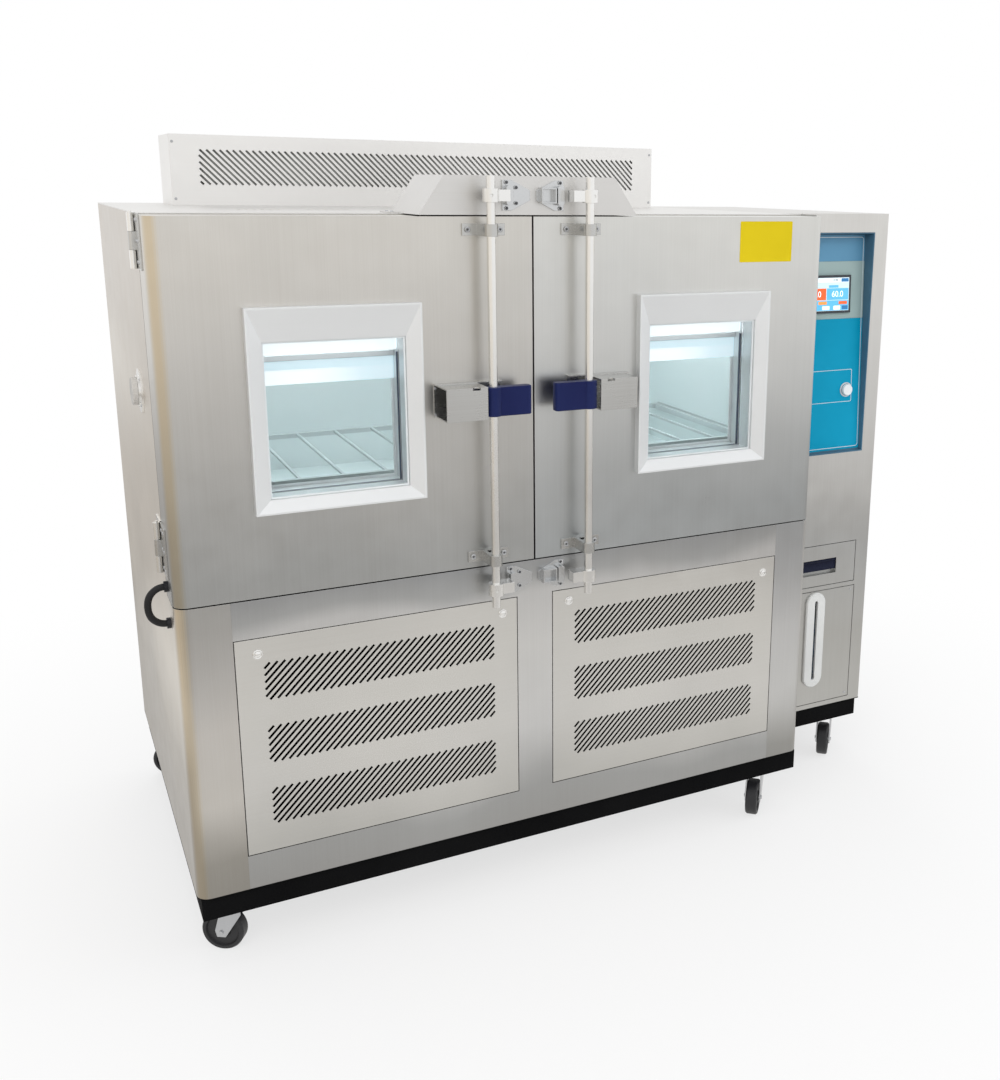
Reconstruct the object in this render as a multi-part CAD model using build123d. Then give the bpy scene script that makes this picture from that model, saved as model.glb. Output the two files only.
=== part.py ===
from build123d import *
import math
import os

os.makedirs("parts", exist_ok=True)

# Environmental test chamber with two doors and a control column on its right side.
# Millimetres. While modelling, x runs right from the left side of the cabinet, y runs back
# from the front of the doors and z runs up from the floor. The files are written with the
# origin at the middle of the footprint, on the floor.

# Cabinet
body_width = 1634
body_depth = 1100
body_height = 1500
sheet = 2.5
corner_radius = 30
stile_width = 112
mullion_width = 91
rail_top_height = 87
rail_bottom_height = 82
lip_width = 10
rear_louvre_length = 420
rear_louvre_height = 8
rear_louvre_pitch = 26
rear_louvre_count = 9
rear_louvre_rise = 120
plinth_height = 58
plinth_inset = 8
plinth_wall = 50

# Casters
caster_height = 132
wheel_diameter = 100
wheel_width = 32
axle_diameter = 10
shaft_clearance = 0.05
caster_trail = 38
caster_plate_length = 96
caster_plate_width = 70
caster_plate_thickness = 4
raceway_diameter = 46
raceway_height = 9
kingpin_diameter = 12
fork_leg_thickness = 4
fork_leg_width = 34
fork_side_gap = 2.5
fork_inset_x = 95
fork_inset_y = 72

# Insulated chamber
chamber_wall = 100
back_space = 104
liner_sheet = 1.5
baffle_to_back = 146
baffle_sheet = 2
fan_diameter = 240
fan_opening = 260
fan_hub_diameter = 60
fan_width = 40
fan_blades = 8
motor_diameter = 110
motor_length = 90
shaft_diameter = 16
return_slots = 5
return_slot_length = 380
return_slot_height = 10
return_slot_pitch = 22
return_slot_from_top = 30
return_slot_from_side = 300
fan_to_baffle = 24
coil_height = 380
coil_width = 420
coil_from_side = 60
coil_to_baffle = 30
heater_length = 340
heater_rods = 3
heater_rod = 12
heater_rod_pitch = 30
heater_from_top = 40
shelf_height = 118
shelf_rod = 6
shelf_rods = 13
shelf_front_gap = 54
shelf_back_gap = 60
shelf_side_gap = 6
shelf_bar = 12
rail_drop = 20
rail_width = 18
rail_sheet = 3

# Refrigeration
compressor_diameter = 200
compressor_height = 300
compressor_dome = 60
compressor_from_front = 430
condenser_thickness = 70
condenser_to_back = 160
condenser_from_top = 40

# Doors
door_thickness = 110
door_height = 807
door_gap = 3
door_split = 4
door_sheet = 2
gasket_thickness = 5.7
gasket_width = 22
gasket_inset = 14
rest_gap = 0.3
core_clearance = 0.3
door_swing_angle = 110

# Windows, measured from the gap between the doors and from the top of the doors
window_from_gap = 303
window_width = 305
window_from_top = 255
window_height = 336
frame_side = 34
frame_top = 73
frame_bottom = 29
frame_proud = 20
frame_lip = 4
pane_thickness = 6
pane_clearance = 0.5
pane_count = 3

# Door locks
rod_from_gap = 119
rod_diameter = 20
rod_stand_off = 50
rod_above_door = 88
rod_below_door = 88
rod_clearance = 0.4
cam_offset = 43
cam_collar_diameter = 36
cam_height = 29
cam_reach = 43
cam_tongue_thickness = 32
guide_length = 100
guide_height = 26
guide_plate = 4
guide_wall = 5
guide_from_edge = 28
keeper_plate = 4
keeper_width = 66
keeper_height = 66
keeper_narrow = 22
keeper_from_gap = 8
keeper_bar_width = 16
keeper_bar_height = 42
keeper_bar_reach = 20
keeper_pocket_width = 36
keeper_pocket_wall = 3
bolt_head = 8
bolt_head_height = 3
lever_from_top = 408
lever_height = 66
lever_thickness = 26
lever_inner_from_gap = 30
grip_wall = 5
catch_height = 74
catch_depth = 72
catch_length = 96
catch_clearance = 2
catch_sheet = 3
catch_plate_length = 158
catch_flange = 14

# Hinges
hinge_height = 112
hinge_leaf = 3
hinge_leaf_length = 66
knuckle_diameter = 14
hinge_pin_diameter = 7
hinge_stand_off = 10
hinge_top_from_edge = 52
hinge_bottom_from_edge = 108
knuckle_gap = 0.4

# Lower ventilation panels
vent_gap = 2
vent_sheet = 2
vent_rim = 14
slot_width = 5.5
slot_pitch = 16.6
slot_angle = 45
slot_row_gap = 60
slot_first_row = 59
slot_last_row = 66
slot_side_margin = 60
slot_rows = 3

# Housings on the roof
rear_housing_left = 160
rear_housing_width = 1412
rear_housing_from_back = 64
rear_housing_depth = 207
rear_housing_height = 179
rear_slot_left = 70
rear_slot_right = 66
rear_slot_height = 92
rear_slot_from_top = 36
lock_housing_bottom = 530
lock_housing_top = 413
lock_housing_height = 85
lock_housing_depth = 205
housing_sheet = 3
housing_foot = 26
roof_slot_length = 70
roof_slot_width = 6
roof_slot_pitch = 18
roof_slot_count = 6
roof_slot_first = 250
roof_slot_second = 416
roof_slot_front = 380

# Control column
column_width = 381
column_setback = 208
column_from_back = 60
column_gap = 0.5
column_margin = 47
control_height = 641
control_from_top = 52
control_recess_top = 40
control_recess_bottom = 13
control_sheet = 3
screen_width = 176
screen_height = 108
screen_thickness = 8
screen_from_top = 118
button_diameter = 33
button_height = 9
button_from_right = 58
button_from_top = 452
button_travel = 3
button_clearance = 0.3
flap_from_top = 972
flap_height = 131
flap_gap = 2
flap_thickness = 24
flap_pin_diameter = 5
latch_width = 142
latch_height = 48
latch_wall = 3
latch_depth = 16
latch_pin_diameter = 4
gauge_panel_from_top = 1116
gauge_panel_height = 370
gauge_panel_width = 293
gauge_rim = 10
gauge_width = 70
gauge_height = 306
gauge_proud = 8
gauge_slot_width = 11
gauge_slot_height = 256
gauge_from_top = 5
tank_width = 230
tank_depth = 300
tank_height = 372
tank_neck = 64

# Cable port in the left side
port_bore = 50
port_tube_wall = 5
port_flange = 98
port_flange_thickness = 5
port_collar = 70
port_collar_height = 9
port_from_front = 300
port_from_top = 392
plug_clearance = 0.3
plug_head = 62
plug_head_height = 12

# Door heater cable
cable_diameter = 15
cable_from_front = 87
cable_above_edge = 26
cable_below_edge = 57
cable_bulge = 21
cable_stub = 14
gland_diameter = 24
gland_length = 8

# Levels and places that follow from the sizes above
base_z = caster_height + plinth_height
top_z = base_z + body_height
door_top = top_z - door_gap
door_bottom = door_top - door_height
frame_top_z = door_bottom - door_gap
opening_top = frame_top_z - rail_top_height
opening_bottom = base_z + rail_bottom_height
opening_width = (body_width - 2 * stile_width - mullion_width) / 2
opening_height = opening_top - opening_bottom
slots_in_all = opening_height - slot_first_row - slot_last_row
slot_row_height = (slots_in_all - (slot_rows - 1) * slot_row_gap) / slot_rows
slot_row_pitch = slot_row_height + slot_row_gap
seal_y = door_thickness + gasket_thickness + rest_gap
middle = body_width / 2
cavity_bottom = door_bottom + chamber_wall
cavity_top = top_z - chamber_wall
cavity_back = body_depth - back_space - chamber_wall
baffle_y = cavity_back - baffle_to_back
shelf_depth = baffle_y - shelf_back_gap - seal_y - shelf_front_gap
column_left = body_width + column_gap
column_right = column_left + column_width
column_centre = (column_left + column_right) / 2
column_depth = body_depth - column_setback - column_from_back
hinge_y = door_thickness + (gasket_thickness + rest_gap) / 2
lever_z = door_top - lever_from_top + door_gap

# Footprint, for the origin: the port's plug stands out on the left, the locks at the front
front_reach = catch_depth
left_reach = port_collar_height + rest_gap + plug_head_height
x_origin = (column_right - left_reach) / 2
y_origin = (body_depth - front_reach) / 2


def box(x0, x1, y0, y1, z0, z1):
    """A block between two corners."""
    size = Box(x1 - x0, y1 - y0, z1 - z0)
    return Pos((x0 + x1) / 2, (y0 + y1) / 2, (z0 + z1) / 2) * size


def rect(x0, x1, z0, z1):
    """A rectangle in the plane of the front, between two corners."""
    return Pos((x0 + x1) / 2, (z0 + z1) / 2) * Rectangle(x1 - x0, z1 - z0)


def front_plate(sketch, y0, thickness):
    """A plate of the sketch's outline, with its front face at y0."""
    return Pos(0, y0 + thickness, 0) * extrude(Plane.XZ * sketch, thickness)


def plan_plate(sketch, z0, height):
    """A prism of a plan outline standing on z0."""
    return Pos(0, 0, z0) * extrude(sketch, height)


def cyl(x, y, z0, z1, diameter):
    """An upright cylinder."""
    return Pos(x, y, (z0 + z1) / 2) * Cylinder(diameter / 2, z1 - z0)


def cyl_y(x, z, y0, y1, diameter):
    """A cylinder that lies from front to back."""
    return Pos(x, (y0 + y1) / 2, z) * Rot(90, 0, 0) * Cylinder(diameter / 2, y1 - y0)


def cyl_x(y, z, x0, x1, diameter):
    """A cylinder that lies from left to right."""
    return Pos((x0 + x1) / 2, y, z) * Rot(0, 90, 0) * Cylinder(diameter / 2, x1 - x0)


def mirrored(shape):
    """The same piece on the other side of the gap between the doors."""
    return mirror(shape, about=Plane.YZ.offset(middle))


def save(name, *shapes):
    """Write one piece, or one group of like pieces, about the origin of the part."""
    solids = []
    for shape in shapes:
        solids.extend(shape.solids())
    placed = [Pos(-x_origin, -y_origin, 0) * solid for solid in solids]
    export_step(Compound(placed) if len(placed) > 1 else placed[0], f"parts/{name}.step")


def slanted_slots(x0, x1, z0, z1, lean):
    """Leaning slots that fill a rectangle, the ones at its ends cut short by its sides."""
    rise = math.tan(math.radians(abs(lean)))
    side = 1 if lean > 0 else -1
    half = (z1 - z0) / 2
    run = half / rise
    count = int((x1 - x0 + 2 * run) / slot_pitch)
    first = (x0 + x1) / 2 - slot_pitch * (count - 1) / 2
    slots = []
    for i in range(count):
        centre = first + i * slot_pitch
        left = max(x0, centre - run)
        right = min(x1, centre + run)
        length = (right - left) / math.cos(math.radians(lean)) - slot_width
        if length > 2 * slot_width:
            mid = (left + right) / 2
            height = (z0 + z1) / 2 + side * (mid - centre) * rise
            slots.append(Pos(mid, height) * Rot(0, 0, lean) * Rectangle(length, slot_width))
    return Sketch() + slots


# Side skins: the wall beside the chamber, and the lower wall that turns round the front
# corner into the stile
def side_skin():
    outer = Pos(body_width / 2, body_depth / 2) * Rectangle(body_width, body_depth)
    corner = outer.vertices().group_by(Axis.Y)[0]
    outer = fillet(corner, corner_radius)
    inner = Pos(body_width / 2, body_depth / 2) * Rectangle(
        body_width - 2 * sheet, body_depth - 2 * sheet)
    corner = inner.vertices().group_by(Axis.Y)[0]
    inner = fillet(corner, corner_radius - sheet)
    ring = outer - inner
    lower = ring & (Pos(stile_width / 2, (body_depth - sheet) / 2)
                    * Rectangle(stile_width, body_depth - sheet))
    upper = Pos(sheet / 2, (seal_y + body_depth - sheet) / 2) * Rectangle(
        sheet, body_depth - sheet - seal_y)
    return (plan_plate(lower, base_z, frame_top_z - base_z)
            + plan_plate(upper, frame_top_z, top_z - sheet - frame_top_z))


port_z = top_z - port_from_top
port_tube = port_bore + 2 * port_tube_wall
left_skin = side_skin()
right_skin = mirrored(left_skin)
left_skin = left_skin - cyl_x(port_from_front, port_z, -1, sheet + 1, port_tube + 2 * rest_gap)
save("side_skin_left", left_skin)
save("side_skin_right", right_skin)

# Rear skin with exhaust louvres for the machine space
rear_slots = Sketch()
for centre in (body_width * 0.28, body_width * 0.72):
    for i in range(rear_louvre_count):
        height = opening_bottom + rear_louvre_rise + i * rear_louvre_pitch
        rear_slots += Pos(centre, height) * Rectangle(
            rear_louvre_length, rear_louvre_height)
rear_sketch = rect(0, body_width, base_z, top_z - sheet) - rear_slots
save("rear_skin", front_plate(rear_sketch, body_depth - sheet, sheet))

# Roof skin with two groups of slots in front of the rear housing
roof = Pos(body_width / 2, (seal_y + body_depth) / 2) * Rectangle(
    body_width, body_depth - seal_y)
for first in (roof_slot_first, roof_slot_second):
    for i in range(roof_slot_count):
        roof -= Pos(first + i * roof_slot_pitch, roof_slot_front + roof_slot_length / 2) * (
            Rectangle(roof_slot_width, roof_slot_length))
save("top_skin", plan_plate(roof, top_z - sheet, sheet))

# Lower front: rails and mullion round the two openings, with flanges turned back to a lip
# that the panels' rims seat on
left_open = (stile_width, stile_width + opening_width)
right_open = (body_width - stile_width - opening_width, body_width - stile_width)
face = rect(stile_width, body_width - stile_width, base_z, frame_top_z)
returns = Part()
lip_y = vent_sheet + vent_rim + rest_gap
for x0, x1 in (left_open, right_open):
    face -= rect(x0, x1, opening_bottom, opening_top)
    hole = rect(x0, x1, opening_bottom, opening_top)
    wall = rect(x0 - sheet, x1 + sheet, opening_bottom - sheet, opening_top + sheet) - hole
    if x0 == left_open[0]:
        wall -= rect(x0 - 2 * sheet, x0, base_z, top_z)
    else:
        wall -= rect(x1, x1 + 2 * sheet, base_z, top_z)
    returns += front_plate(wall, sheet, lip_y)
    lip = hole - rect(x0 + lip_width, x1 - lip_width, opening_bottom + lip_width,
                      opening_top - lip_width)
    returns += front_plate(lip, lip_y, sheet)
shelf_flange = box(stile_width, body_width - stile_width, sheet, seal_y, frame_top_z - sheet,
                   frame_top_z)
save("lower_front_frame", front_plate(face, 0, sheet) + returns + shelf_flange)


def vent_panel(x0, x1):
    """A flush panel with rows of leaning slots and a flange all round."""
    a = x0 + vent_gap
    b = x1 - vent_gap
    low = opening_bottom + vent_gap
    high = opening_top - vent_gap
    outline = rect(a, b, low, high)
    face = outline
    for row in range(slot_rows):
        top = opening_top - slot_first_row - row * slot_row_pitch
        face -= slanted_slots(x0 + slot_side_margin, x1 - slot_side_margin,
                              top - slot_row_height, top, slot_angle)
    rim = outline - rect(a + vent_sheet, b - vent_sheet, low + vent_sheet, high - vent_sheet)
    return front_plate(face, 0, vent_sheet) + front_plate(rim, vent_sheet, vent_rim)


save("vent_panel_left", vent_panel(*left_open))
save("vent_panel_right", vent_panel(*right_open))

# Plinth: a black base frame under the cabinet and one under the column
column_front = column_setback
column_back = column_setback + column_depth


def plinth_frame(x0, x1, y0, y1):
    """An open rectangular frame."""
    ring = Pos((x0 + x1) / 2, (y0 + y1) / 2) * (
        Rectangle(x1 - x0, y1 - y0)
        - Rectangle(x1 - x0 - 2 * plinth_wall, y1 - y0 - 2 * plinth_wall))
    return plan_plate(ring, caster_height, plinth_height - sheet)


cabinet_pan = box(0, body_width, 0, body_depth, base_z - sheet, base_z)
cabinet_pan = fillet(cabinet_pan.edges().filter_by(Axis.Z).group_by(Axis.Y)[0], corner_radius)
column_pan = box(column_left, column_right, column_front, column_back, base_z - sheet, base_z)
plinth_main = plinth_frame(plinth_inset, body_width - plinth_inset, plinth_inset,
                           body_depth - plinth_inset) + cabinet_pan
plinth_side = plinth_frame(column_left + plinth_inset, column_right - plinth_inset,
                           column_front + plinth_inset, column_back - plinth_inset) + column_pan

# Casters: three at the front, two at the back, each with its own swivel
rear_y = body_depth - fork_inset_y - plinth_inset
column_caster_x = column_right - fork_inset_y
casters = [
    (fork_inset_x, fork_inset_y, 147),
    (body_width - fork_inset_x, fork_inset_y, 228),
    (column_caster_x, column_front + fork_inset_y, 228),
    (fork_inset_x, rear_y, 160),
    (column_caster_x, column_back - fork_inset_y - plinth_inset, 200),
]
raceway_bottom = caster_height - caster_plate_thickness - raceway_height
fork_top = raceway_bottom - rest_gap
axle_z = wheel_diameter / 2
plates = []
for x, y, _ in casters:
    plate = Pos(x, y, caster_height - caster_plate_thickness / 2) * Box(
        caster_plate_length, caster_plate_width, caster_plate_thickness)
    plate = fillet(plate.edges().filter_by(Axis.Z), 8)
    plate += cyl(x, y, raceway_bottom, caster_height - caster_plate_thickness, raceway_diameter)
    plate -= cyl(x, y, raceway_bottom - 1, caster_height + 1,
                 kingpin_diameter + 2 * shaft_clearance)
    plates.append(plate)
save("caster_plates", *plates)
save("plinth", plinth_main, plinth_side)


def caster_fork(x, y, turn):
    """A pressed fork with its kingpin and its axle, trailing in the turn's direction."""
    inner = wheel_width / 2 + fork_side_gap
    outer = inner + fork_leg_thickness
    crown = Cylinder(raceway_diameter / 2 + 2, fork_leg_thickness)
    bridge = Pos(caster_trail * 0.4, 0, 0) * Box(caster_trail, 2 * outer, fork_leg_thickness)
    top = Pos(0, 0, fork_top - fork_leg_thickness / 2) * (crown + bridge)
    leg_outline = make_face(Polyline(
        (-fork_leg_width * 0.3, fork_top), (caster_trail * 0.9, fork_top),
        (caster_trail + fork_leg_width * 0.42, axle_z + 4),
        (caster_trail + fork_leg_width * 0.30, axle_z - 12),
        (caster_trail - fork_leg_width * 0.30, axle_z - 12),
        (-fork_leg_width * 0.3, fork_top - 22), (-fork_leg_width * 0.3, fork_top)))
    legs = Part()
    for near in (-outer, inner):
        legs += Pos(0, near + fork_leg_thickness, 0) * extrude(Plane.XZ * leg_outline,
                                                               fork_leg_thickness)
    pin = cyl(0, 0, fork_top - 1, caster_height - 1, kingpin_diameter)
    axle = cyl_y(caster_trail, axle_z, -outer - 3, outer + 3, axle_diameter)
    return Pos(x, y, 0) * Rot(0, 0, turn) * (top + legs + pin + axle)


def caster_wheel(x, y, turn):
    """A grey tread on a hub, bored for its axle."""
    profile = make_face(Polyline(
        (axle_diameter / 2 + shaft_clearance, -wheel_width / 2),
        (16, -wheel_width / 2), (19, -wheel_width / 2 + 5),
        (wheel_diameter * 0.37, -wheel_width / 2 + 5), (wheel_diameter * 0.40, -wheel_width / 2),
        (wheel_diameter / 2 - 3, -wheel_width / 2), (wheel_diameter / 2, -wheel_width / 2 + 4),
        (wheel_diameter / 2, wheel_width / 2 - 4), (wheel_diameter / 2 - 3, wheel_width / 2),
        (wheel_diameter * 0.40, wheel_width / 2), (wheel_diameter * 0.37, wheel_width / 2 - 5),
        (19, wheel_width / 2 - 5), (16, wheel_width / 2),
        (axle_diameter / 2 + shaft_clearance, wheel_width / 2),
        (axle_diameter / 2 + shaft_clearance, -wheel_width / 2)))
    wheel = revolve(Plane.XZ * profile, Axis.Z)
    return Pos(x, y, 0) * Rot(0, 0, turn) * Pos(caster_trail, 0, axle_z) * Rot(90, 0, 0) * wheel


for number, (x, y, turn) in enumerate(casters, start=1):
    save(f"caster_fork_{number}", caster_fork(x, y, turn))
    save(f"caster_wheel_{number}", caster_wheel(x, y, turn))

# Insulated walls round the chamber, and the liner inside them
left_in = chamber_wall
right_in = body_width - chamber_wall
inner_left = left_in - liner_sheet
inner_right = right_in + liner_sheet
inner_bottom = cavity_bottom - liner_sheet
inner_top = cavity_top + liner_sheet
inner_back = cavity_back + liner_sheet
wall_back = cavity_back + chamber_wall
motor_y = wall_back
fan_z = (cavity_bottom + cavity_top) / 2
slab_left = box(sheet, inner_left, seal_y, inner_back, inner_bottom, inner_top)
slab_left -= cyl_x(port_from_front, port_z, 0, chamber_wall, port_tube + 2 * rest_gap)
slab_right = box(inner_right, body_width - sheet, seal_y, inner_back, inner_bottom, inner_top)
slab_top = box(sheet, body_width - sheet, seal_y, inner_back, inner_top, top_z - sheet)
slab_bottom = box(sheet, body_width - sheet, seal_y, inner_back, frame_top_z, inner_bottom)
slab_back = box(sheet, body_width - sheet, inner_back, wall_back, frame_top_z, top_z - sheet)
slab_back -= cyl_y(middle, fan_z, cavity_back, wall_back + 1, shaft_diameter + 4)
save("insulation_walls", slab_left, slab_right, slab_top, slab_bottom, slab_back)

liner = box(inner_left, inner_right, seal_y, inner_back, inner_bottom, inner_top)
liner -= box(left_in, right_in, seal_y - 1, cavity_back, cavity_bottom, cavity_top)
liner -= cyl_x(port_from_front, port_z, 0, chamber_wall + 1, port_tube + 2 * rest_gap)
liner -= cyl_y(middle, fan_z, cavity_back - 1, inner_back + 1, shaft_diameter + 4)
save("chamber_liner", liner)

# Air baffle across the back of the test space, with the fan's opening and return slots
baffle = rect(left_in, right_in, cavity_bottom, cavity_top)
baffle -= Pos(middle, fan_z) * Circle(fan_opening / 2)
for i in range(return_slots):
    height = cavity_top - return_slot_from_top - i * return_slot_pitch
    for x in (left_in + return_slot_from_side, right_in - return_slot_from_side):
        baffle -= Pos(x, height) * Rectangle(return_slot_length, return_slot_height)
save("air_baffle", front_plate(baffle, baffle_y, baffle_sheet))

# Fan wheel behind the baffle; its shaft runs through the back wall to the motor
fan_y = baffle_y + baffle_sheet + fan_to_baffle
hub = cyl_y(middle, fan_z, fan_y, fan_y + fan_width, fan_hub_diameter)
wheel = hub + cyl_y(middle, fan_z, fan_y + fan_width - 4, fan_y + fan_width, fan_diameter)
for i in range(fan_blades):
    blade = Pos((fan_diameter + fan_hub_diameter) / 4 - 2, -fan_width / 2, 0) * Rot(0, 0, 12) * Box(
        (fan_diameter - fan_hub_diameter) / 2 - 4, fan_width - 4, 4)
    blade = Rot(0, i * 360 / fan_blades, 0) * Rot(25, 0, 0) * blade
    wheel += Pos(middle, fan_y + fan_width, fan_z) * blade
wheel &= box(0, body_width, fan_y, fan_y + fan_width, 0, top_z)
wheel += cyl_y(middle, fan_z, fan_y + fan_width - 1, motor_y + 20, shaft_diameter)
save("circulation_fan", wheel)

# Air handler: fan motor on the back wall, evaporator fins and heater behind the baffle
motor = cyl_y(middle, fan_z, motor_y, motor_y + motor_length, motor_diameter)
motor -= cyl_y(middle, fan_z, motor_y - 1, motor_y + 24, shaft_diameter + 2 * shaft_clearance)
coil_y = baffle_y + baffle_sheet + coil_to_baffle
coil_x0 = left_in + coil_from_side
coil_left = box(coil_x0, coil_x0 + coil_width, coil_y, cavity_back,
                cavity_bottom, cavity_bottom + coil_height)
coil_right = mirrored(coil_left)
heater = Part()
for i in range(heater_rods):
    y = coil_y + heater_rod_pitch * (i + 0.7)
    heater_row = cyl_x(y, cavity_top - heater_from_top, left_in, left_in + heater_length,
                       heater_rod)
    heater += heater_row
save("air_handler", motor, coil_left, coil_right, *heater.solids())

# Wire shelf on two rails
shelf_z = cavity_bottom + shelf_height
shelf_y0 = seal_y + shelf_front_gap
rail_left = box(left_in, left_in + rail_width, shelf_y0, shelf_y0 + shelf_depth,
                shelf_z - rail_drop, shelf_z - rail_drop + rail_sheet)
rail_left += box(left_in, left_in + rail_sheet, shelf_y0, shelf_y0 + shelf_depth, shelf_z - rail_drop,
                 shelf_z)
rail_right = mirrored(rail_left)
x0 = left_in + shelf_side_gap
x1 = right_in - shelf_side_gap
low = shelf_z - rail_drop + rail_sheet
bar = shelf_bar
shelf = box(x0, x1, shelf_y0, shelf_y0 + bar, low, low + bar)
shelf += box(x0, x1, shelf_y0 + shelf_depth - bar, shelf_y0 + shelf_depth, low, low + bar)
shelf += box(x0, x0 + bar, shelf_y0, shelf_y0 + shelf_depth, low, low + bar)
shelf += box(x1 - bar, x1, shelf_y0, shelf_y0 + shelf_depth, low, low + bar)
for i in range(shelf_rods):
    x = x0 + (i + 1) * (x1 - x0) / (shelf_rods + 1)
    shelf += box(x - shelf_rod / 2, x + shelf_rod / 2, shelf_y0 + bar / 2,
                 shelf_y0 + shelf_depth - bar / 2, low + bar - shelf_rod, low + bar)
save("shelf", shelf, rail_left, rail_right)

# Refrigeration unit in the machine space: two compressors and a finned condenser
compressors = []
for x in (body_width * 0.30, body_width * 0.46):
    shell = cyl(x, compressor_from_front, base_z, base_z + compressor_height,
                compressor_diameter)
    shell = fillet(shell.edges().group_by(Axis.Z)[-1], compressor_dome)
    compressors.append(shell)
condenser_back = body_depth - sheet - condenser_to_back
condenser = box(body_width * 0.56, body_width * 0.90, condenser_back - condenser_thickness,
                condenser_back, base_z, opening_top - condenser_from_top)
save("refrigeration_unit", *compressors, condenser)

# Doors. The left door is drawn and the right one is its mirror image.
door_left_edge = 0
door_right_edge = middle - door_split / 2
window_x1 = middle - window_from_gap
window_x0 = window_x1 - window_width
window_z1 = door_top - window_from_top
window_z0 = window_z1 - window_height


def door_outline(inset, back):
    """Plan of the door, with the outer front corner rounded."""
    plan = Pos((door_left_edge + door_right_edge) / 2, back / 2 + inset / 2) * Rectangle(
        door_right_edge - door_left_edge - 2 * inset, back - inset)
    corner = plan.vertices().group_by(Axis.Y)[0].sort_by(Axis.X)[0]
    return fillet([corner], corner_radius - inset)


def tunnel(margin):
    """The window's way through the door, widened by a margin all round."""
    return box(window_x0 - margin, window_x1 + margin, -1, door_thickness + 1,
               window_z0 - margin, window_z1 + margin)


# Each door is a closed sheet shell with a lined window tunnel, filled by its foam core
skin = plan_plate(door_outline(0, door_thickness), door_bottom, door_height)
filling = plan_plate(door_outline(door_sheet, door_thickness - door_sheet),
                     door_bottom + door_sheet, door_height - 2 * door_sheet)
skin -= filling - tunnel(door_sheet)
skin -= tunnel(0)
core_inset = door_sheet + core_clearance
core = plan_plate(door_outline(core_inset, door_thickness - core_inset),
                  door_bottom + core_inset, door_height - 2 * core_inset)
core -= tunnel(core_inset)
gasket = rect(door_left_edge + gasket_inset, door_right_edge, door_bottom + gasket_inset,
              door_top - gasket_inset)
gasket -= rect(door_left_edge + gasket_inset + gasket_width, door_right_edge - gasket_width,
               door_bottom + gasket_inset + gasket_width,
               door_top - gasket_inset - gasket_width)
gasket = front_plate(gasket, door_thickness, gasket_thickness)

# Window frame: a mitred picture frame that slopes in to the glass, deeper along the top
frame_outer = rect(window_x0 - frame_side, window_x1 + frame_side, window_z0 - frame_bottom,
                   window_z1 + frame_top)
frame_edge = rect(window_x0 - frame_side + frame_lip, window_x1 + frame_side - frame_lip,
                  window_z0 - frame_bottom + frame_lip, window_z1 + frame_top - frame_lip)
frame_inner = rect(window_x0, window_x1, window_z0, window_z1)
frame = front_plate(frame_outer, -frame_proud, frame_proud)
funnel = loft([
    Pos(0, -frame_proud, 0) * (Plane.XZ * frame_edge).face(),
    Pos(0, -frame_proud * 0.25, 0) * (Plane.XZ * frame_inner).face(),
])
frame -= funnel
frame -= front_plate(frame_inner, -frame_proud - 1, frame_proud + 2)

# Panes, spaced through the depth of the door
pane_outline = rect(window_x0 + pane_clearance, window_x1 - pane_clearance,
                    window_z0 + pane_clearance, window_z1 - pane_clearance)
panes = []
for i in range(pane_count):
    y = 4 + i * (door_thickness - 8 - pane_thickness) / (pane_count - 1)
    panes.append(front_plate(pane_outline, y, pane_thickness))

# Lock rod with a cam at each end. The tongue points to the gap between the doors.
rod_x = middle - rod_from_gap
rod_y = -rod_stand_off
cam_zs = (door_bottom - cam_offset, door_top + door_gap + cam_offset)
rod = cyl(rod_x, rod_y, door_bottom - rod_below_door, door_top + rod_above_door, rod_diameter)
for z in cam_zs:
    rod += cyl(rod_x, rod_y, z - cam_height / 2, z + cam_height / 2, cam_collar_diameter)
    tongue = box(rod_x, rod_x + cam_reach, rod_y - 8, rod_y - 8 + cam_tongue_thickness,
                 z - cam_height / 2 + 2, z + cam_height / 2 - 2)
    rod += tongue
    rod -= cyl_y(rod_x - 4, z, rod_y - cam_collar_diameter, rod_y - cam_collar_diameter / 2 + 3, 6)
lever_inner_x = middle - lever_inner_from_gap
core_height = lever_height - 2 * grip_wall
lever = box(rod_x, lever_inner_x - grip_wall - 1, rod_y - 4, rod_y + 4,
            lever_z - core_height / 2, lever_z + core_height / 2)
lever += cyl(rod_x, rod_y, lever_z - core_height / 2, lever_z + core_height / 2,
             rod_diameter + 8)
rod += lever

# Moulded sleeve over the lever, round at the rod and closed at its free end
grip_plan = Pos((rod_x + lever_inner_x) / 2, rod_y) * Rectangle(
    lever_inner_x - rod_x, lever_thickness)
grip_plan += Pos(rod_x, rod_y) * Circle(lever_thickness / 2 + 6)
grip = plan_plate(grip_plan, lever_z - lever_height / 2, lever_height)
free_end = grip.edges().filter_by(Axis.Z).group_by(Axis.X)[-1]
grip = fillet(free_end, 8)
grip = chamfer(grip.faces().filter_by(Plane.XY).edges(), 1.5)
grip -= box(rod_x, lever_inner_x - grip_wall - 0.7, rod_y - 4.3, rod_y + 4.3,
            lever_z - core_height / 2 - 0.3, lever_z + core_height / 2 + 0.3)
grip -= cyl(rod_x, rod_y, lever_z - core_height / 2 - 0.3, lever_z + core_height / 2 + 0.3,
            rod_diameter + 8 + 0.6)
grip -= cyl(rod_x, rod_y, lever_z - lever_height, lever_z + lever_height,
            rod_diameter + 2 * rest_gap)

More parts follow.
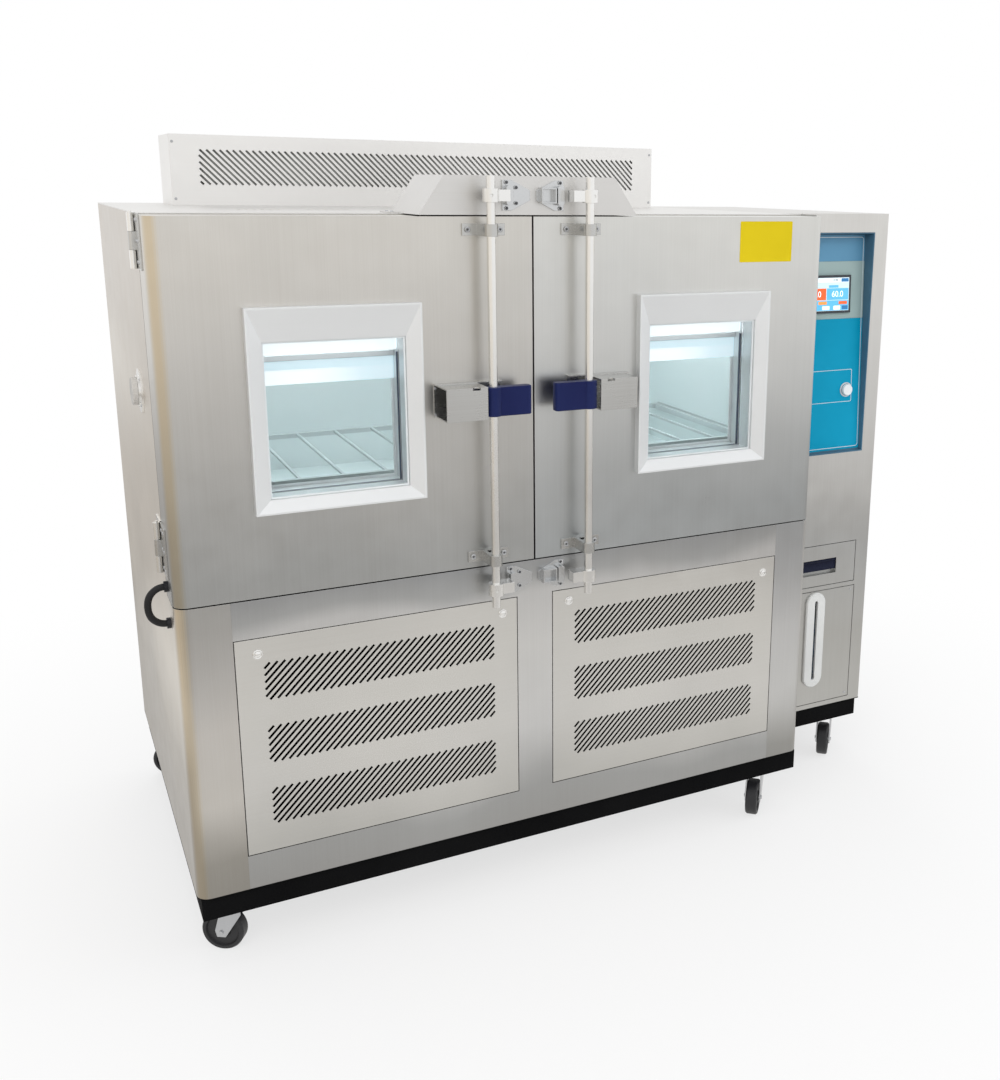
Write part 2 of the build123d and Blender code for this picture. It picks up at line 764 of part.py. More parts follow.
# Fittings on the door: two guides, the housing beside the lever and two hinge leaves
bore = rod_diameter + 2 * rod_clearance
guides = []
guide_zs = (door_bottom + guide_from_edge, door_top - guide_from_edge)
for z in guide_zs:
    strap = Pos(rod_x, rod_y) * Circle(bore / 2 + guide_wall)
    strap += Pos(rod_x, rod_y / 2) * Rectangle(bore + 2 * guide_wall, rod_stand_off)
    strap -= Pos(rod_x, rod_y) * Circle(bore / 2)
    strap -= Pos(rod_x, rod_y / 2 + bore / 4) * Rectangle(bore * 0.7, rod_stand_off - bore - 12)
    feet = Pos(rod_x, -guide_plate / 2) * Rectangle(guide_length, guide_plate)
    guide = plan_plate(strap + feet, z - guide_height / 2, guide_height)
    for side in (-1, 1):
        guide += cyl_y(rod_x + side * (guide_length / 2 - 12), z, -guide_plate - bolt_head_height,
                       -guide_plate, bolt_head + 4)
    guides.append(guide)

catch_x1 = rod_x - lever_thickness / 2 - 6 - catch_clearance
catch_x0 = catch_x1 - catch_length
low = lever_z - catch_height / 2
high = lever_z + catch_height / 2
shell = box(catch_x0, catch_x1, -catch_depth, 0, low, high)
shell -= box(catch_x0 - 1, catch_x1 + 1, -catch_depth + catch_sheet, -catch_sheet,
             low + catch_sheet, high - catch_sheet)
shell += box(catch_x0 - 6, catch_x0 - 6 + catch_plate_length, -catch_sheet, 0, low, high)
shell += box(catch_x0 - 6, catch_x0 - 6 + catch_plate_length, -catch_flange, 0,
             high, high + catch_sheet)
shell -= Pos(catch_x1 - 26, -catch_depth, high) * Cylinder(9, 4 * catch_sheet)
catch = shell

hinge_zs = (door_top - hinge_top_from_edge, door_bottom + hinge_bottom_from_edge)
hinge_x = -hinge_stand_off
fixed_leaves = []
door_leaves = []
for z in hinge_zs:
    third = hinge_height / 3
    leaf = box(-hinge_leaf, 0, hinge_y - 3 - hinge_leaf_length, hinge_y - 3 - 1,
               z - hinge_height / 2, z + hinge_height / 2)
    knuckle = cyl(hinge_x, hinge_y, z - third / 2 + knuckle_gap, z + third / 2 - knuckle_gap,
                  knuckle_diameter)
    web = box(hinge_x, 0, hinge_y - 4 - knuckle_diameter / 2, hinge_y - 1,
              z - third / 2 + knuckle_gap, z + third / 2 - knuckle_gap)
    leaf += knuckle + (web - box(-1, 1, hinge_y - 3, hinge_y + 1, z - third, z + third))
    leaf -= cyl(hinge_x, hinge_y, z - third, z + third, hinge_pin_diameter + 2 * shaft_clearance)
    door_leaves.append(leaf)
    other = box(-hinge_leaf, 0, hinge_y + 4, hinge_y + 3 + hinge_leaf_length,
                z - hinge_height / 2, z + hinge_height / 2)
    for a, b in ((z - hinge_height / 2, z - third / 2), (z + third / 2, z + hinge_height / 2)):
        other += cyl(hinge_x, hinge_y, a, b, knuckle_diameter)
        other += box(hinge_x, 0, hinge_y + 4, hinge_y + 4 + knuckle_diameter / 2, a, b)
        other += box(hinge_x, -hinge_leaf, hinge_y, hinge_y + 5, a, b)
    other += cyl(hinge_x, hinge_y, z - hinge_height / 2, z + hinge_height / 2 + 3,
                 hinge_pin_diameter)
    fixed_leaves.append(other)

save("door_left_skin", skin)
save("door_left_core", core)
save("door_left_gasket", gasket)
save("window_frame_left", frame)
save("window_glass_left", *panes)
save("lock_rod_left", rod)
save("grip_left", grip)
save("door_fittings_left", *guides, catch, *door_leaves)
save("door_right_skin", mirrored(skin))
save("door_right_core", mirrored(core))
save("door_right_gasket", mirrored(gasket))
save("window_frame_right", mirrored(frame))
save("window_glass_right", *[mirrored(pane) for pane in panes])
save("lock_rod_right", mirrored(rod))
save("grip_right", mirrored(grip))
save("door_fittings_right", *[mirrored(piece) for piece in guides + [catch] + door_leaves])
save("hinge_fixed_leaves", *fixed_leaves, *[mirrored(leaf) for leaf in fixed_leaves])

# Keepers for the cams: two on the housing over the doors, two on the rail below them.
# Each mouth is open to the front, so the tongue leaves it straight forward.
def keeper(z, pocket):
    wide = middle - keeper_from_gap - keeper_width
    narrow = middle - keeper_from_gap
    half = keeper_height / 2
    outline = make_face(Polyline(
        (wide, z - half), (wide + 22, z - half), (narrow, z - keeper_narrow / 2),
        (narrow, z + keeper_narrow / 2), (wide + 22, z + half), (wide, z + half),
        (wide, z - half)))
    body = front_plate(outline, -keeper_plate, keeper_plate)
    bar_x = wide + 4
    bar = box(bar_x, bar_x + keeper_bar_width, -keeper_bar_reach, -keeper_plate,
              z - keeper_bar_height / 2, z + keeper_bar_height / 2)
    body += fillet(bar.edges().filter_by(Axis.Y), 5)
    heads = [(wide + 9, half - 5), (wide + 32, keeper_narrow / 2 + 6)]
    if pocket:
        x0 = bar_x + keeper_bar_width + 3
        wall = keeper_pocket_wall
        shell = box(x0, x0 + keeper_pocket_width, -keeper_bar_reach, -keeper_plate,
                    z - keeper_narrow / 2 - 6, z + keeper_narrow / 2 + 6)
        shell -= box(x0 + wall, x0 + keeper_pocket_width - wall, -keeper_bar_reach - 1,
                     -keeper_plate, z - keeper_narrow / 2 - 6 + wall,
                     z + keeper_narrow / 2 + 6 - wall)
        body += shell
        heads = heads[:1]
    for x, off in heads:
        for side in (-1, 1):
            body += cyl_y(x, z + side * off, -keeper_plate - bolt_head_height, -keeper_plate,
                          bolt_head)
    return body


keepers = []
for z in cam_zs:
    keepers.append(keeper(z, False))
    keepers.append(mirrored(keeper(z, True)))
save("lock_keepers", *keepers)

# Trapezoid housing over the doors that carries the upper keepers
half_bottom = lock_housing_bottom / 2
half_top = lock_housing_top / 2
housing_top = top_z + lock_housing_height
slope = (half_bottom - half_top) / lock_housing_height
outline = make_face(Polyline(
    (middle - half_bottom, top_z), (middle + half_bottom, top_z),
    (middle + half_top, housing_top), (middle - half_top, housing_top),
    (middle - half_bottom, top_z)))
hollow = make_face(Polyline(
    (middle - half_bottom + housing_sheet, top_z - 1),
    (middle + half_bottom - housing_sheet, top_z - 1),
    (middle + half_top - housing_sheet, housing_top - housing_sheet),
    (middle - half_top + housing_sheet, housing_top - housing_sheet),
    (middle - half_bottom + housing_sheet, top_z - 1)))
lock_housing = front_plate(outline, 0, lock_housing_depth)
lock_housing -= front_plate(hollow, housing_sheet, lock_housing_depth - 2 * housing_sheet)
for side in (-1, 1):
    inner = middle + side * (half_bottom - housing_sheet)
    outer = middle + side * (half_bottom + housing_foot)
    foot = box(min(inner, outer), max(inner, outer), seal_y + 20, lock_housing_depth,
               top_z, top_z + housing_sheet)
    lock_housing += foot
save("lock_housing", lock_housing)

# Louvred housing along the back of the roof
hx0 = rear_housing_left
hx1 = rear_housing_left + rear_housing_width
hy1 = body_depth - rear_housing_from_back
hy0 = hy1 - rear_housing_depth
hz1 = top_z + rear_housing_height
cover = box(hx0, hx1, hy0 + housing_sheet, hy1, top_z, hz1)
cover -= box(hx0 + housing_sheet, hx1 - housing_sheet, hy0, hy1 - housing_sheet,
             top_z - 1, hz1 - housing_sheet)
slot_top = hz1 - rear_slot_from_top
grille = rect(hx0, hx1, top_z, hz1) - slanted_slots(
    hx0 + rear_slot_left, hx1 - rear_slot_right, slot_top - rear_slot_height, slot_top,
    -slot_angle)
cover += front_plate(grille, hy0, housing_sheet)
save("rear_housing", cover)

# Control column: a sheet box with three openings in its front
cx0 = column_left
cx1 = column_right
cy0 = column_front
cy1 = column_back
panel_x0 = cx0 + column_margin
panel_x1 = cx1 - column_margin
control_z1 = top_z - control_from_top
control_z0 = control_z1 - control_height
flap_z1 = top_z - flap_from_top
flap_z0 = flap_z1 - flap_height
gauge_z1 = top_z - gauge_panel_from_top
gauge_z0 = gauge_z1 - gauge_panel_height
gauge_x0 = column_centre - gauge_panel_width / 2
gauge_x1 = column_centre + gauge_panel_width / 2
column = box(cx0, cx1, cy0, cy1, base_z, top_z)
column -= box(cx0 + sheet, cx1 - sheet, cy0 + sheet, cy1 - sheet, base_z + sheet, top_z - sheet)
gauge_lip = vent_sheet + gauge_rim + rest_gap
for x0, x1, z0, z1, deep in (
        (panel_x0, panel_x1, control_z0, control_z1, 0),
        (panel_x0, panel_x1, flap_z0, flap_z1, flap_thickness + 6),
        (gauge_x0, gauge_x1, gauge_z0, gauge_z1, gauge_lip)):
    opening = rect(x0, x1, z0, z1)
    column -= front_plate(opening, cy0 - 1, sheet + 2)
    if deep:
        collar = rect(x0 - sheet, x1 + sheet, z0 - sheet, z1 + sheet) - opening
        column += front_plate(collar, cy0 + sheet, deep)
lip = rect(gauge_x0, gauge_x1, gauge_z0, gauge_z1) - rect(
    gauge_x0 + lip_width, gauge_x1 - lip_width, gauge_z0 + lip_width, gauge_z1 - lip_width)
column += front_plate(lip, cy0 + gauge_lip, sheet)
flap_pivot_x = panel_x0 + flap_gap + flap_thickness / 2
flap_pivot_y = cy0 + flap_thickness / 2
pin_hole = flap_pin_diameter + 2 * shaft_clearance
column -= cyl(flap_pivot_x, flap_pivot_y, flap_z0 - sheet - 1, flap_z1 + sheet + 1, pin_hole)
column = fillet(column.edges().filter_by(Axis.Z).group_by(Axis.Y)[0].sort_by(Axis.X)[-1], 3)
save("column_shell", column)

# Control panel: a tray whose face leans back towards the top
tray_gap = rest_gap
tx0 = panel_x0 + tray_gap
tx1 = panel_x1 - tray_gap
tz0 = control_z0 + tray_gap
tz1 = control_z1 - tray_gap
side_profile = make_face(Polyline(
    (cy0, tz0), (cy0, tz1), (cy0 + control_recess_top + control_sheet, tz1),
    (cy0 + control_recess_bottom + control_sheet, tz0), (cy0, tz0)))
cut_profile = make_face(Polyline(
    (cy0 - 1, tz0 + control_sheet), (cy0 - 1, tz1 - control_sheet),
    (cy0 + control_recess_top, tz1 - control_sheet),
    (cy0 + control_recess_bottom, tz0 + control_sheet), (cy0 - 1, tz0 + control_sheet)))
tray = Pos(tx0, 0, 0) * extrude(Plane.YZ * side_profile, tx1 - tx0)
tray -= Pos(tx0 + control_sheet, 0, 0) * extrude(Plane.YZ * cut_profile,
                                                 tx1 - tx0 - 2 * control_sheet)
face_rise = tz1 - tz0 - 2 * control_sheet
lean = math.degrees(math.atan((control_recess_top - control_recess_bottom) / face_rise))


def on_control_face(x, from_top):
    """Place on the leaning face, with local +Z out of the face and +Y up along it."""
    down = from_top / math.cos(math.radians(lean))
    share = from_top / face_rise
    y = cy0 + control_recess_top - (control_recess_top - control_recess_bottom) * share
    return Pos(x, y, tz1 - control_sheet - from_top) * Rot(90 - lean, 0, 0)


button_x = cx1 - column_margin - button_from_right
button_place = on_control_face(button_x, button_from_top)
tray -= button_place * Cylinder(button_diameter / 2 - 5 + button_clearance, 30)
save("control_panel", tray)
screen = on_control_face(column_centre, screen_from_top + screen_height / 2) * Pos(
    0, 0, screen_thickness / 2) * Box(screen_width, screen_height, screen_thickness)
screen = fillet(screen.edges().filter_by(Axis.X, reverse=True).sort_by(Axis.Y)[:2], 2)
save("touch_screen", screen)
button = Pos(0, 0, button_travel + button_clearance + button_height / 2) * Cylinder(
    button_diameter / 2, button_height)
button = chamfer(button.edges().group_by(Axis.Z)[-1], 1.5)
button += Pos(0, 0, -6) * Cylinder(button_diameter / 2 - 5, 2 * (6 + button_travel + 1))
save("button_light", button_place * button)

# Filling flap with a recessed paddle latch; it turns on two pins at its left edge
fx0 = panel_x0 + flap_gap
fx1 = panel_x1 - flap_gap
fz0 = flap_z0 + flap_gap
fz1 = flap_z1 - flap_gap
flap = box(fx0, fx1, cy0, cy0 + flap_thickness, fz0, fz1)
rounded = flap.edges().filter_by(Axis.Z).group_by(Axis.X)[0]
flap = fillet(rounded, flap_thickness / 2 - 0.5)
flap += cyl(flap_pivot_x, flap_pivot_y, flap_z0 - sheet, flap_z1 + sheet, flap_pin_diameter)
latch_x0 = column_centre - latch_width / 2
latch_x1 = column_centre + latch_width / 2
latch_z = flap_z1 - 70
latch_z0 = latch_z - latch_height / 2
latch_z1 = latch_z + latch_height / 2
flap -= box(latch_x0, latch_x1, cy0 - 1, cy0 + latch_depth, latch_z0, latch_z1)
latch_axis_y = cy0 + 5
latch_axis_z = latch_z1 - 6
flap -= cyl_x(latch_axis_y, latch_axis_z, latch_x0 - 4, latch_x1 + 4,
              latch_pin_diameter + 2 * shaft_clearance)
save("tank_flap", flap)
paddle = box(latch_x0 + 1, latch_x1 - 1, latch_axis_y - latch_wall / 2,
             latch_axis_y + latch_wall / 2, latch_z0 + 12, latch_axis_z)
paddle += cyl_x(latch_axis_y, latch_axis_z, latch_x0 + 1, latch_x1 - 1, 8)
paddle += cyl_x(latch_axis_y, latch_axis_z, latch_x0 - 3.5, latch_x1 + 3.5, latch_pin_diameter)
save("flap_latch", paddle)

# Screwed lower panel with the level gauge
gx0 = gauge_x0 + vent_gap
gx1 = gauge_x1 - vent_gap
gz0 = gauge_z0 + vent_gap
gz1 = gauge_z1 - vent_gap
gauge_zc = gauge_z1 - gauge_from_top - gauge_height / 2
sight = Pos(column_centre, gauge_zc) * SlotOverall(gauge_slot_height, gauge_slot_width,
                                                   rotation=90)
cover = rect(gx0, gx1, gz0, gz1)
rim = cover - rect(gx0 + vent_sheet, gx1 - vent_sheet, gz0 + vent_sheet, gz1 - vent_sheet)
gauge_panel = front_plate(cover - sight, cy0, vent_sheet) + front_plate(
    rim, cy0 + vent_sheet, gauge_rim)
save("gauge_panel", gauge_panel)
oval = Pos(column_centre, gauge_zc) * SlotOverall(gauge_height, gauge_width, rotation=90)
bezel = front_plate(oval, cy0 - gauge_proud, gauge_proud)
bezel = chamfer(bezel.edges().group_by(Axis.Y)[0], 3)
bezel -= front_plate(sight, cy0 - gauge_proud - 1, gauge_proud + 2)
save("level_gauge", bezel)

# Water tank behind the flap and the gauge, with its filling neck
tank_x0 = column_centre - tank_width / 2
tank_x1 = column_centre + tank_width / 2
tank_y0 = cy0 + 34
tank = box(tank_x0, tank_x1, tank_y0, tank_y0 + tank_depth, base_z + sheet,
           base_z + sheet + tank_height)
tank = fillet(tank.edges().filter_by(Axis.Z), 20)
tank += cyl(column_centre, tank_y0 + 70, base_z + sheet + tank_height,
            base_z + sheet + tank_height + 22, tank_neck)
tank -= cyl(column_centre, tank_y0 + 70, base_z + tank_height - 60,
            base_z + sheet + tank_height + 30, tank_neck - 8)
save("water_tank", tank)

# Cable port: a flanged tube through the left wall, and its plug
tube = cyl_x(port_from_front, port_z, -port_collar_height, chamber_wall + 3, port_tube)
tube += cyl_x(port_from_front, port_z, -port_flange_thickness, 0, port_flange)
tube += cyl_x(port_from_front, port_z, -port_collar_height, 0, port_collar)
tube -= cyl_x(port_from_front, port_z, -port_collar_height - 1, chamber_wall + 4, port_bore)
save("port_flange", tube)
plug = cyl_x(port_from_front, port_z, -port_collar_height - rest_gap, chamber_wall * 0.8,
             port_bore - 2 * plug_clearance)
plug += cyl_x(port_from_front, port_z, -port_collar_height - rest_gap - plug_head_height,
              -port_collar_height - rest_gap, plug_head)
plug = chamfer(plug.edges().group_by(Axis.X)[0], 2)
save("port_plug", plug)

# Heater cable of the left door, from the door's side to the stile below it
upper_z = door_bottom + cable_above_edge
lower_z = door_bottom - cable_below_edge
start_x = -gland_length
out_x = start_x - cable_stub
far_x = out_x - cable_bulge
route = [
    (start_x, cable_from_front, upper_z),
    (out_x, cable_from_front, upper_z),
    (far_x, cable_from_front, upper_z - cable_bulge),
    (far_x, cable_from_front, lower_z + cable_bulge),
    (out_x, cable_from_front, lower_z),
    (start_x, cable_from_front, lower_z),
]
bends = []
for i in range(1, len(route) - 1):
    before = Vector(*route[i]) - Vector(*route[i - 1])
    after = Vector(*route[i + 1]) - Vector(*route[i])
    turn = math.radians(before.get_angle(after))
    bends.append(0.45 * min(before.length, after.length) / math.tan(turn / 2))
print("cable bend radii", [round(r, 1) for r in bends])
path = FilletPolyline(*route, radius=bends)
section = Plane(origin=path @ 0, z_dir=path % 0) * Circle(cable_diameter / 2)
cable = sweep(section, path)
print("cable length", round(path.length, 1), "volume ratio",
      round(cable.volume / (math.pi * cable_diameter ** 2 / 4 * path.length), 4))
save("door_cable", cable)
save("gland_door", cyl_x(cable_from_front, upper_z, -gland_length, 0, gland_diameter))
save("gland_body", cyl_x(cable_from_front, lower_z, -gland_length, 0, gland_diameter))
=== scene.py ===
import math

import bmesh
import bpy
from mathutils import Matrix, Vector


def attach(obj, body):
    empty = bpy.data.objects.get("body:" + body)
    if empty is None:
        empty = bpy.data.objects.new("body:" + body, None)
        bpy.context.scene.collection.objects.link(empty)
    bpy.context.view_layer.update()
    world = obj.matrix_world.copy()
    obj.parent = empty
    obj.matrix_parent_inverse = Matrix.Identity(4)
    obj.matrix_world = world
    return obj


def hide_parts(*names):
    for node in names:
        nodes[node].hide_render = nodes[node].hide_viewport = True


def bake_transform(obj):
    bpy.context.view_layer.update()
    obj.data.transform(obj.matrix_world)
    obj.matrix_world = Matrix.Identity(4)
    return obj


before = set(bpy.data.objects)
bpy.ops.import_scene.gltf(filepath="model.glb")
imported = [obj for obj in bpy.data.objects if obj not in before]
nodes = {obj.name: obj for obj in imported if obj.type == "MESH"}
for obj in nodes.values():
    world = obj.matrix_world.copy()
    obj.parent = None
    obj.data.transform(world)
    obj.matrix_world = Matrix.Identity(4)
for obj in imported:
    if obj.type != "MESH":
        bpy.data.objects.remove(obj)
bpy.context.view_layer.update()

scene = bpy.context.scene

# The part's own sizes, in millimetres of the cabinet: x from its left side, y from the front
# of the doors, z from the floor
X0, Y0 = 997.1, 514.0
WIDTH, TOP = 1634.0, 1690.0
MIDDLE = WIDTH / 2
DOOR_BOTTOM, DOOR_TOP = 880.0, 1687.0
WINDOW_FROM_MIDDLE, WINDOW_WIDTH = 303, 305
WINDOW_Z0, WINDOW_Z1 = 1096.0, 1432.0
ROD_FROM_MIDDLE, GUIDE_FROM_EDGE, CAM_BEYOND_DOOR = 119, 28, 43
LEVER_Z = 1282
SHEET_INSIDE = 2.7
HINGE_LEAF, HINGE_Y = 3, 113
HINGE_FROM_TOP, HINGE_FROM_BOTTOM = 52, 108
PORT_Y, PORT_Z, PORT_FLANGE = 300, 1298, 5
HOUSING_X0, HOUSING_X1, HOUSING_Y = 160, 1572, 829

# The column, its control panel and its level gauge
COL_L, COL_R = 1634.5, 2015.5
COL_C = (COL_L + COL_R) / 2
COL_Y = 208.0
RECESS_SIDE, RECESS_FROM_TOP, RECESS_HEIGHT = 47, 52, 641
TRAY_SHEET, TRAY_GAP = 3, 0.3
FACE_TOP = TOP - RECESS_FROM_TOP - TRAY_GAP - TRAY_SHEET
FACE_RISE = RECESS_HEIGHT - 2 * TRAY_GAP - 2 * TRAY_SHEET
FACE_DEEP, FACE_SHALLOW = 40.0, 13.0
LEAN = math.atan((FACE_DEEP - FACE_SHALLOW) / FACE_RISE)
GAUGE_PANEL_FROM_TOP, GAUGE_PANEL_HEIGHT, GAUGE_FROM_PANEL_TOP = 1116, 370, 158
GAUGE_PANEL_Z1 = TOP - GAUGE_PANEL_FROM_TOP
GAUGE_PANEL_Z0 = GAUGE_PANEL_Z1 - GAUGE_PANEL_HEIGHT
GAUGE_Z = GAUGE_PANEL_Z1 - GAUGE_FROM_PANEL_TOP


def P(x, y, z):
    """A point of the cabinet, in metres of the model."""
    return Vector(((x - X0) / 1000, (y - Y0) / 1000, z / 1000))


# Camera first: it stands where the photograph was taken
IMAGE_W, IMAGE_H = 1000, 1080
FOCAL = 1169.236
CENTRE_X, CENTRE_Y = 640.03, 469.978
YAW, PITCH, ROLL = 0.495204, -0.239482, 0.016080
CAMERA_AT = P(-240.576, -2485.831, 1760.816)
cam_data = bpy.data.cameras.new("camera")
camera = bpy.data.objects.new("camera", cam_data)
scene.collection.objects.link(camera)
fwd = Vector((math.sin(YAW) * math.cos(PITCH), math.cos(YAW) * math.cos(PITCH), math.sin(PITCH)))
right = Vector((math.cos(YAW), -math.sin(YAW), 0))
up = right.cross(fwd)
r2 = math.cos(ROLL) * right + math.sin(ROLL) * up
u2 = -math.sin(ROLL) * right + math.cos(ROLL) * up
turn = Matrix((r2, u2, -fwd)).transposed().to_4x4()
camera.matrix_world = Matrix.Translation(CAMERA_AT) @ turn
cam_data.sensor_fit = "AUTO"
cam_data.sensor_width = 36
cam_data.lens = FOCAL / IMAGE_H * cam_data.sensor_width
cam_data.shift_x = (IMAGE_W / 2 - CENTRE_X) / IMAGE_H
cam_data.shift_y = (CENTRE_Y - IMAGE_H / 2) / IMAGE_H
cam_data.clip_start = 0.05
cam_data.clip_end = 200
scene.camera = camera
scene.view_settings.view_transform = "Standard"


# Node trees and materials
class Nodes:
    """A node tree, built up step by step."""

    def __init__(self, tree):
        self.tree = tree

    def node(self, kind, **values):
        n = self.tree.nodes.new(kind)
        for k, v in values.items():
            setattr(n, k, v)
        return n

    def link(self, a, b):
        self.tree.links.new(a, b)

    def feed(self, socket, value):
        """Set a socket to a number or a colour, or link another node's output to it."""
        if isinstance(value, (int, float)):
            socket.default_value = value
        elif isinstance(value, tuple):
            socket.default_value = (*value, 1)
        else:
            self.link(value, socket)

    def split(self, vector):
        n = self.node("ShaderNodeSeparateXYZ")
        self.link(vector, n.inputs[0])
        return n.outputs

    def ramp(self, fac, stops):
        r = self.node("ShaderNodeValToRGB")
        els = r.color_ramp.elements
        while len(els) < len(stops):
            els.new(0.5)
        for e, (p, c) in zip(els, stops):
            e.position = p
            e.color = (*c, 1)
        self.link(fac, r.inputs["Fac"])
        return r.outputs["Color"]

    def span(self, fac, low, high, a=0.0, b=1.0, smooth=False):
        """Map the range from a to b to the one from low to high."""
        m = self.node("ShaderNodeMapRange")
        if smooth:
            m.interpolation_type = "SMOOTHSTEP"
        m.inputs["From Min"].default_value = a
        m.inputs["From Max"].default_value = b
        m.inputs["To Min"].default_value = low
        m.inputs["To Max"].default_value = high
        self.link(fac, m.inputs["Value"])
        return m.outputs["Result"]

    def mix(self, fac, a, b, blend="MIX"):
        m = self.node("ShaderNodeMix", data_type="RGBA", blend_type=blend)
        self.feed(m.inputs["Factor"], fac)
        self.feed(m.inputs[6], a)
        self.feed(m.inputs[7], b)
        return m.outputs[2]

    def math(self, op, a, b):
        m = self.node("ShaderNodeMath", operation=op)
        self.feed(m.inputs[0], a)
        self.feed(m.inputs[1], b)
        return m.outputs[0]

    def shader(self, kind, color, strength=None):
        s = self.node(kind)
        self.feed(s.inputs["Color"], color)
        if strength is not None:
            s.inputs["Strength"].default_value = strength
        return s.outputs[0]

    def cross(self, fac, a, b):
        """One shader where fac is 0 and another where it is 1."""
        m = self.node("ShaderNodeMixShader")
        self.link(fac, m.inputs["Fac"])
        self.link(a, m.inputs[1])
        self.link(b, m.inputs[2])
        return m.outputs[0]

    def by_ray(self, lit, reflected, seen):
        """What lights the object, what metal reflects of it, and what is seen of it, also
        through glass."""
        path = self.node("ShaderNodeLightPath").outputs
        lit = self.cross(path["Is Glossy Ray"], lit, reflected)
        clear = self.math("MAXIMUM", path["Is Camera Ray"], path["Is Transmission Ray"])
        return self.cross(clear, lit, seen)


class Mat(Nodes):
    """A material with its shader."""

    def __init__(self, name, color, metallic=0.0, rough=0.5):
        self.mat = bpy.data.materials.new(name)
        self.mat.use_nodes = True
        super().__init__(self.mat.node_tree)
        self.bsdf = self.tree.nodes["Principled BSDF"]
        self.set("Base Color", (*color, 1))
        self.set("Metallic", metallic)
        self.set("Roughness", rough)
        self.coord = self.node("ShaderNodeTexCoord")

    def set(self, socket, value):
        self.bsdf.inputs[socket].default_value = value

    def noise(self, stretch=(1, 1, 1), scale=1.0, detail=3.0, rough=0.5):
        m = self.node("ShaderNodeMapping")
        m.inputs["Scale"].default_value = stretch
        self.link(self.coord.outputs["Object"], m.inputs["Vector"])
        n = self.node("ShaderNodeTexNoise")
        n.inputs["Scale"].default_value = scale
        n.inputs["Detail"].default_value = detail
        n.inputs["Roughness"].default_value = rough
        self.link(m.outputs["Vector"], n.inputs["Vector"])
        return n.outputs["Fac"]

    def bump(self, height, strength, distance, edge):
        """A bump of a height over edges that are rounded to a radius."""
        b = self.node("ShaderNodeBump")
        b.inputs["Strength"].default_value = strength
        b.inputs["Distance"].default_value = distance
        self.link(height, b.inputs["Height"])
        e = self.node("ShaderNodeBevel", samples=4)
        e.inputs["Radius"].default_value = edge
        self.link(e.outputs["Normal"], b.inputs["Normal"])
        self.link(b.outputs["Normal"], self.bsdf.inputs["Normal"])

    def color(self, out):
        self.feed(self.bsdf.inputs["Base Color"], out)

    def roughness(self, out):
        self.link(out, self.bsdf.inputs["Roughness"])


def along(grain, slow, fast):
    """A stretch that draws the noise out into lines along one axis."""
    return tuple(slow if axis == grain else fast for axis in "xyz")


def at_heights(row):
    """The stops of a ramp over 2 m of height, from a row of (height, tint)."""
    return [(z / 2, tint) for z, tint in row]


def brushed(name, light, dark, grain, rough=0.33, edge=0.0012, patch=0.5, bump=0.08, streak=0.10,
            painted_shade_by_height=None, painted_shade_sideways=None, bend=None, metallic=1.0):
    """Sheet steel with a fine directional grain, cloudy patches and rubbed places.

    fade is a row of (height, tint), painted shade and reflection that make the sheet darker or
    lighter at each height; sides is the same for faces that look left or right, and bend is a
    painted warm reflection on the rounded corner between."""
    m = Mat(name, light, metallic, rough)
    fine = m.noise(along(grain, 3, 900), 1.0, 3.0, 0.6)
    wide = m.noise(along(grain, 1.5, 130), 1.0, 2.0, 0.5)
    cloud = m.noise((1, 1, 1), 1.7, 3.0, 0.5)
    smear = m.noise((1, 1, 1), 6.0, 4.0, 0.55)
    spots = m.noise((1, 1, 1), 16.0, 4.0, 0.6)
    base = m.ramp(cloud, [(0.5 - patch / 2, dark), (0.5 + patch / 2, light)])
    for share, fac, low, low_tone, high, high_tone in (
            (0.10, smear, 0.32, (0.36, 0.36, 0.35), 0.68, (0.66, 0.66, 0.65)),
            (streak, fine, 0.3, (0.30, 0.30, 0.29), 0.7, (0.76, 0.76, 0.75)),
            (streak * 0.4, wide, 0.35, (0.38, 0.37, 0.36), 0.65, (0.70, 0.70, 0.69))):
        base = m.mix(share, base, m.ramp(fac, [(low, low_tone), (high, high_tone)]), "OVERLAY")
    # Painted shade and reflection: a tint by height, another for faces that look left or right, and
    # a painted warm reflection on the rounded corner
    if painted_shade_by_height:
        height = m.split(m.coord.outputs["Object"])["Z"]
        drift = m.math("ADD", height, m.span(cloud, -0.06, 0.06, 0.3, 0.7))
        tall = m.span(drift, 0.0, 1.0, 0.0, 2.0)
        tints = m.ramp(tall, at_heights(painted_shade_by_height))
        if painted_shade_sideways:
            normal = m.split(m.node("ShaderNodeNewGeometry").outputs["True Normal"])
            sideways = m.math("ABSOLUTE", normal["X"], 0.0)
            tints = m.mix(m.span(sideways, 0.0, 1.0, 0.2, 0.8), tints,
                          m.ramp(tall, at_heights(painted_shade_sideways)))
            if bend:
                none = (1.0, 1.0, 1.0)
                tints = m.mix(1.0, tints, m.ramp(sideways, [
                    (0.12, none), (0.45, bend), (0.85, bend), (0.99, none)]), "MULTIPLY")
        base = m.mix(1.0, base, tints, "MULTIPLY")
    m.color(base)
    gloss = m.math("ADD", m.span(fine, rough - 0.03, rough + 0.04),
                   m.span(spots, -0.03, 0.03, 0.3, 0.7))
    m.roughness(m.math("ADD", gloss, m.span(cloud, -0.04, 0.04, 0.3, 0.7)))
    m.bump(fine, bump, 0.0003, edge)
    return m.mat


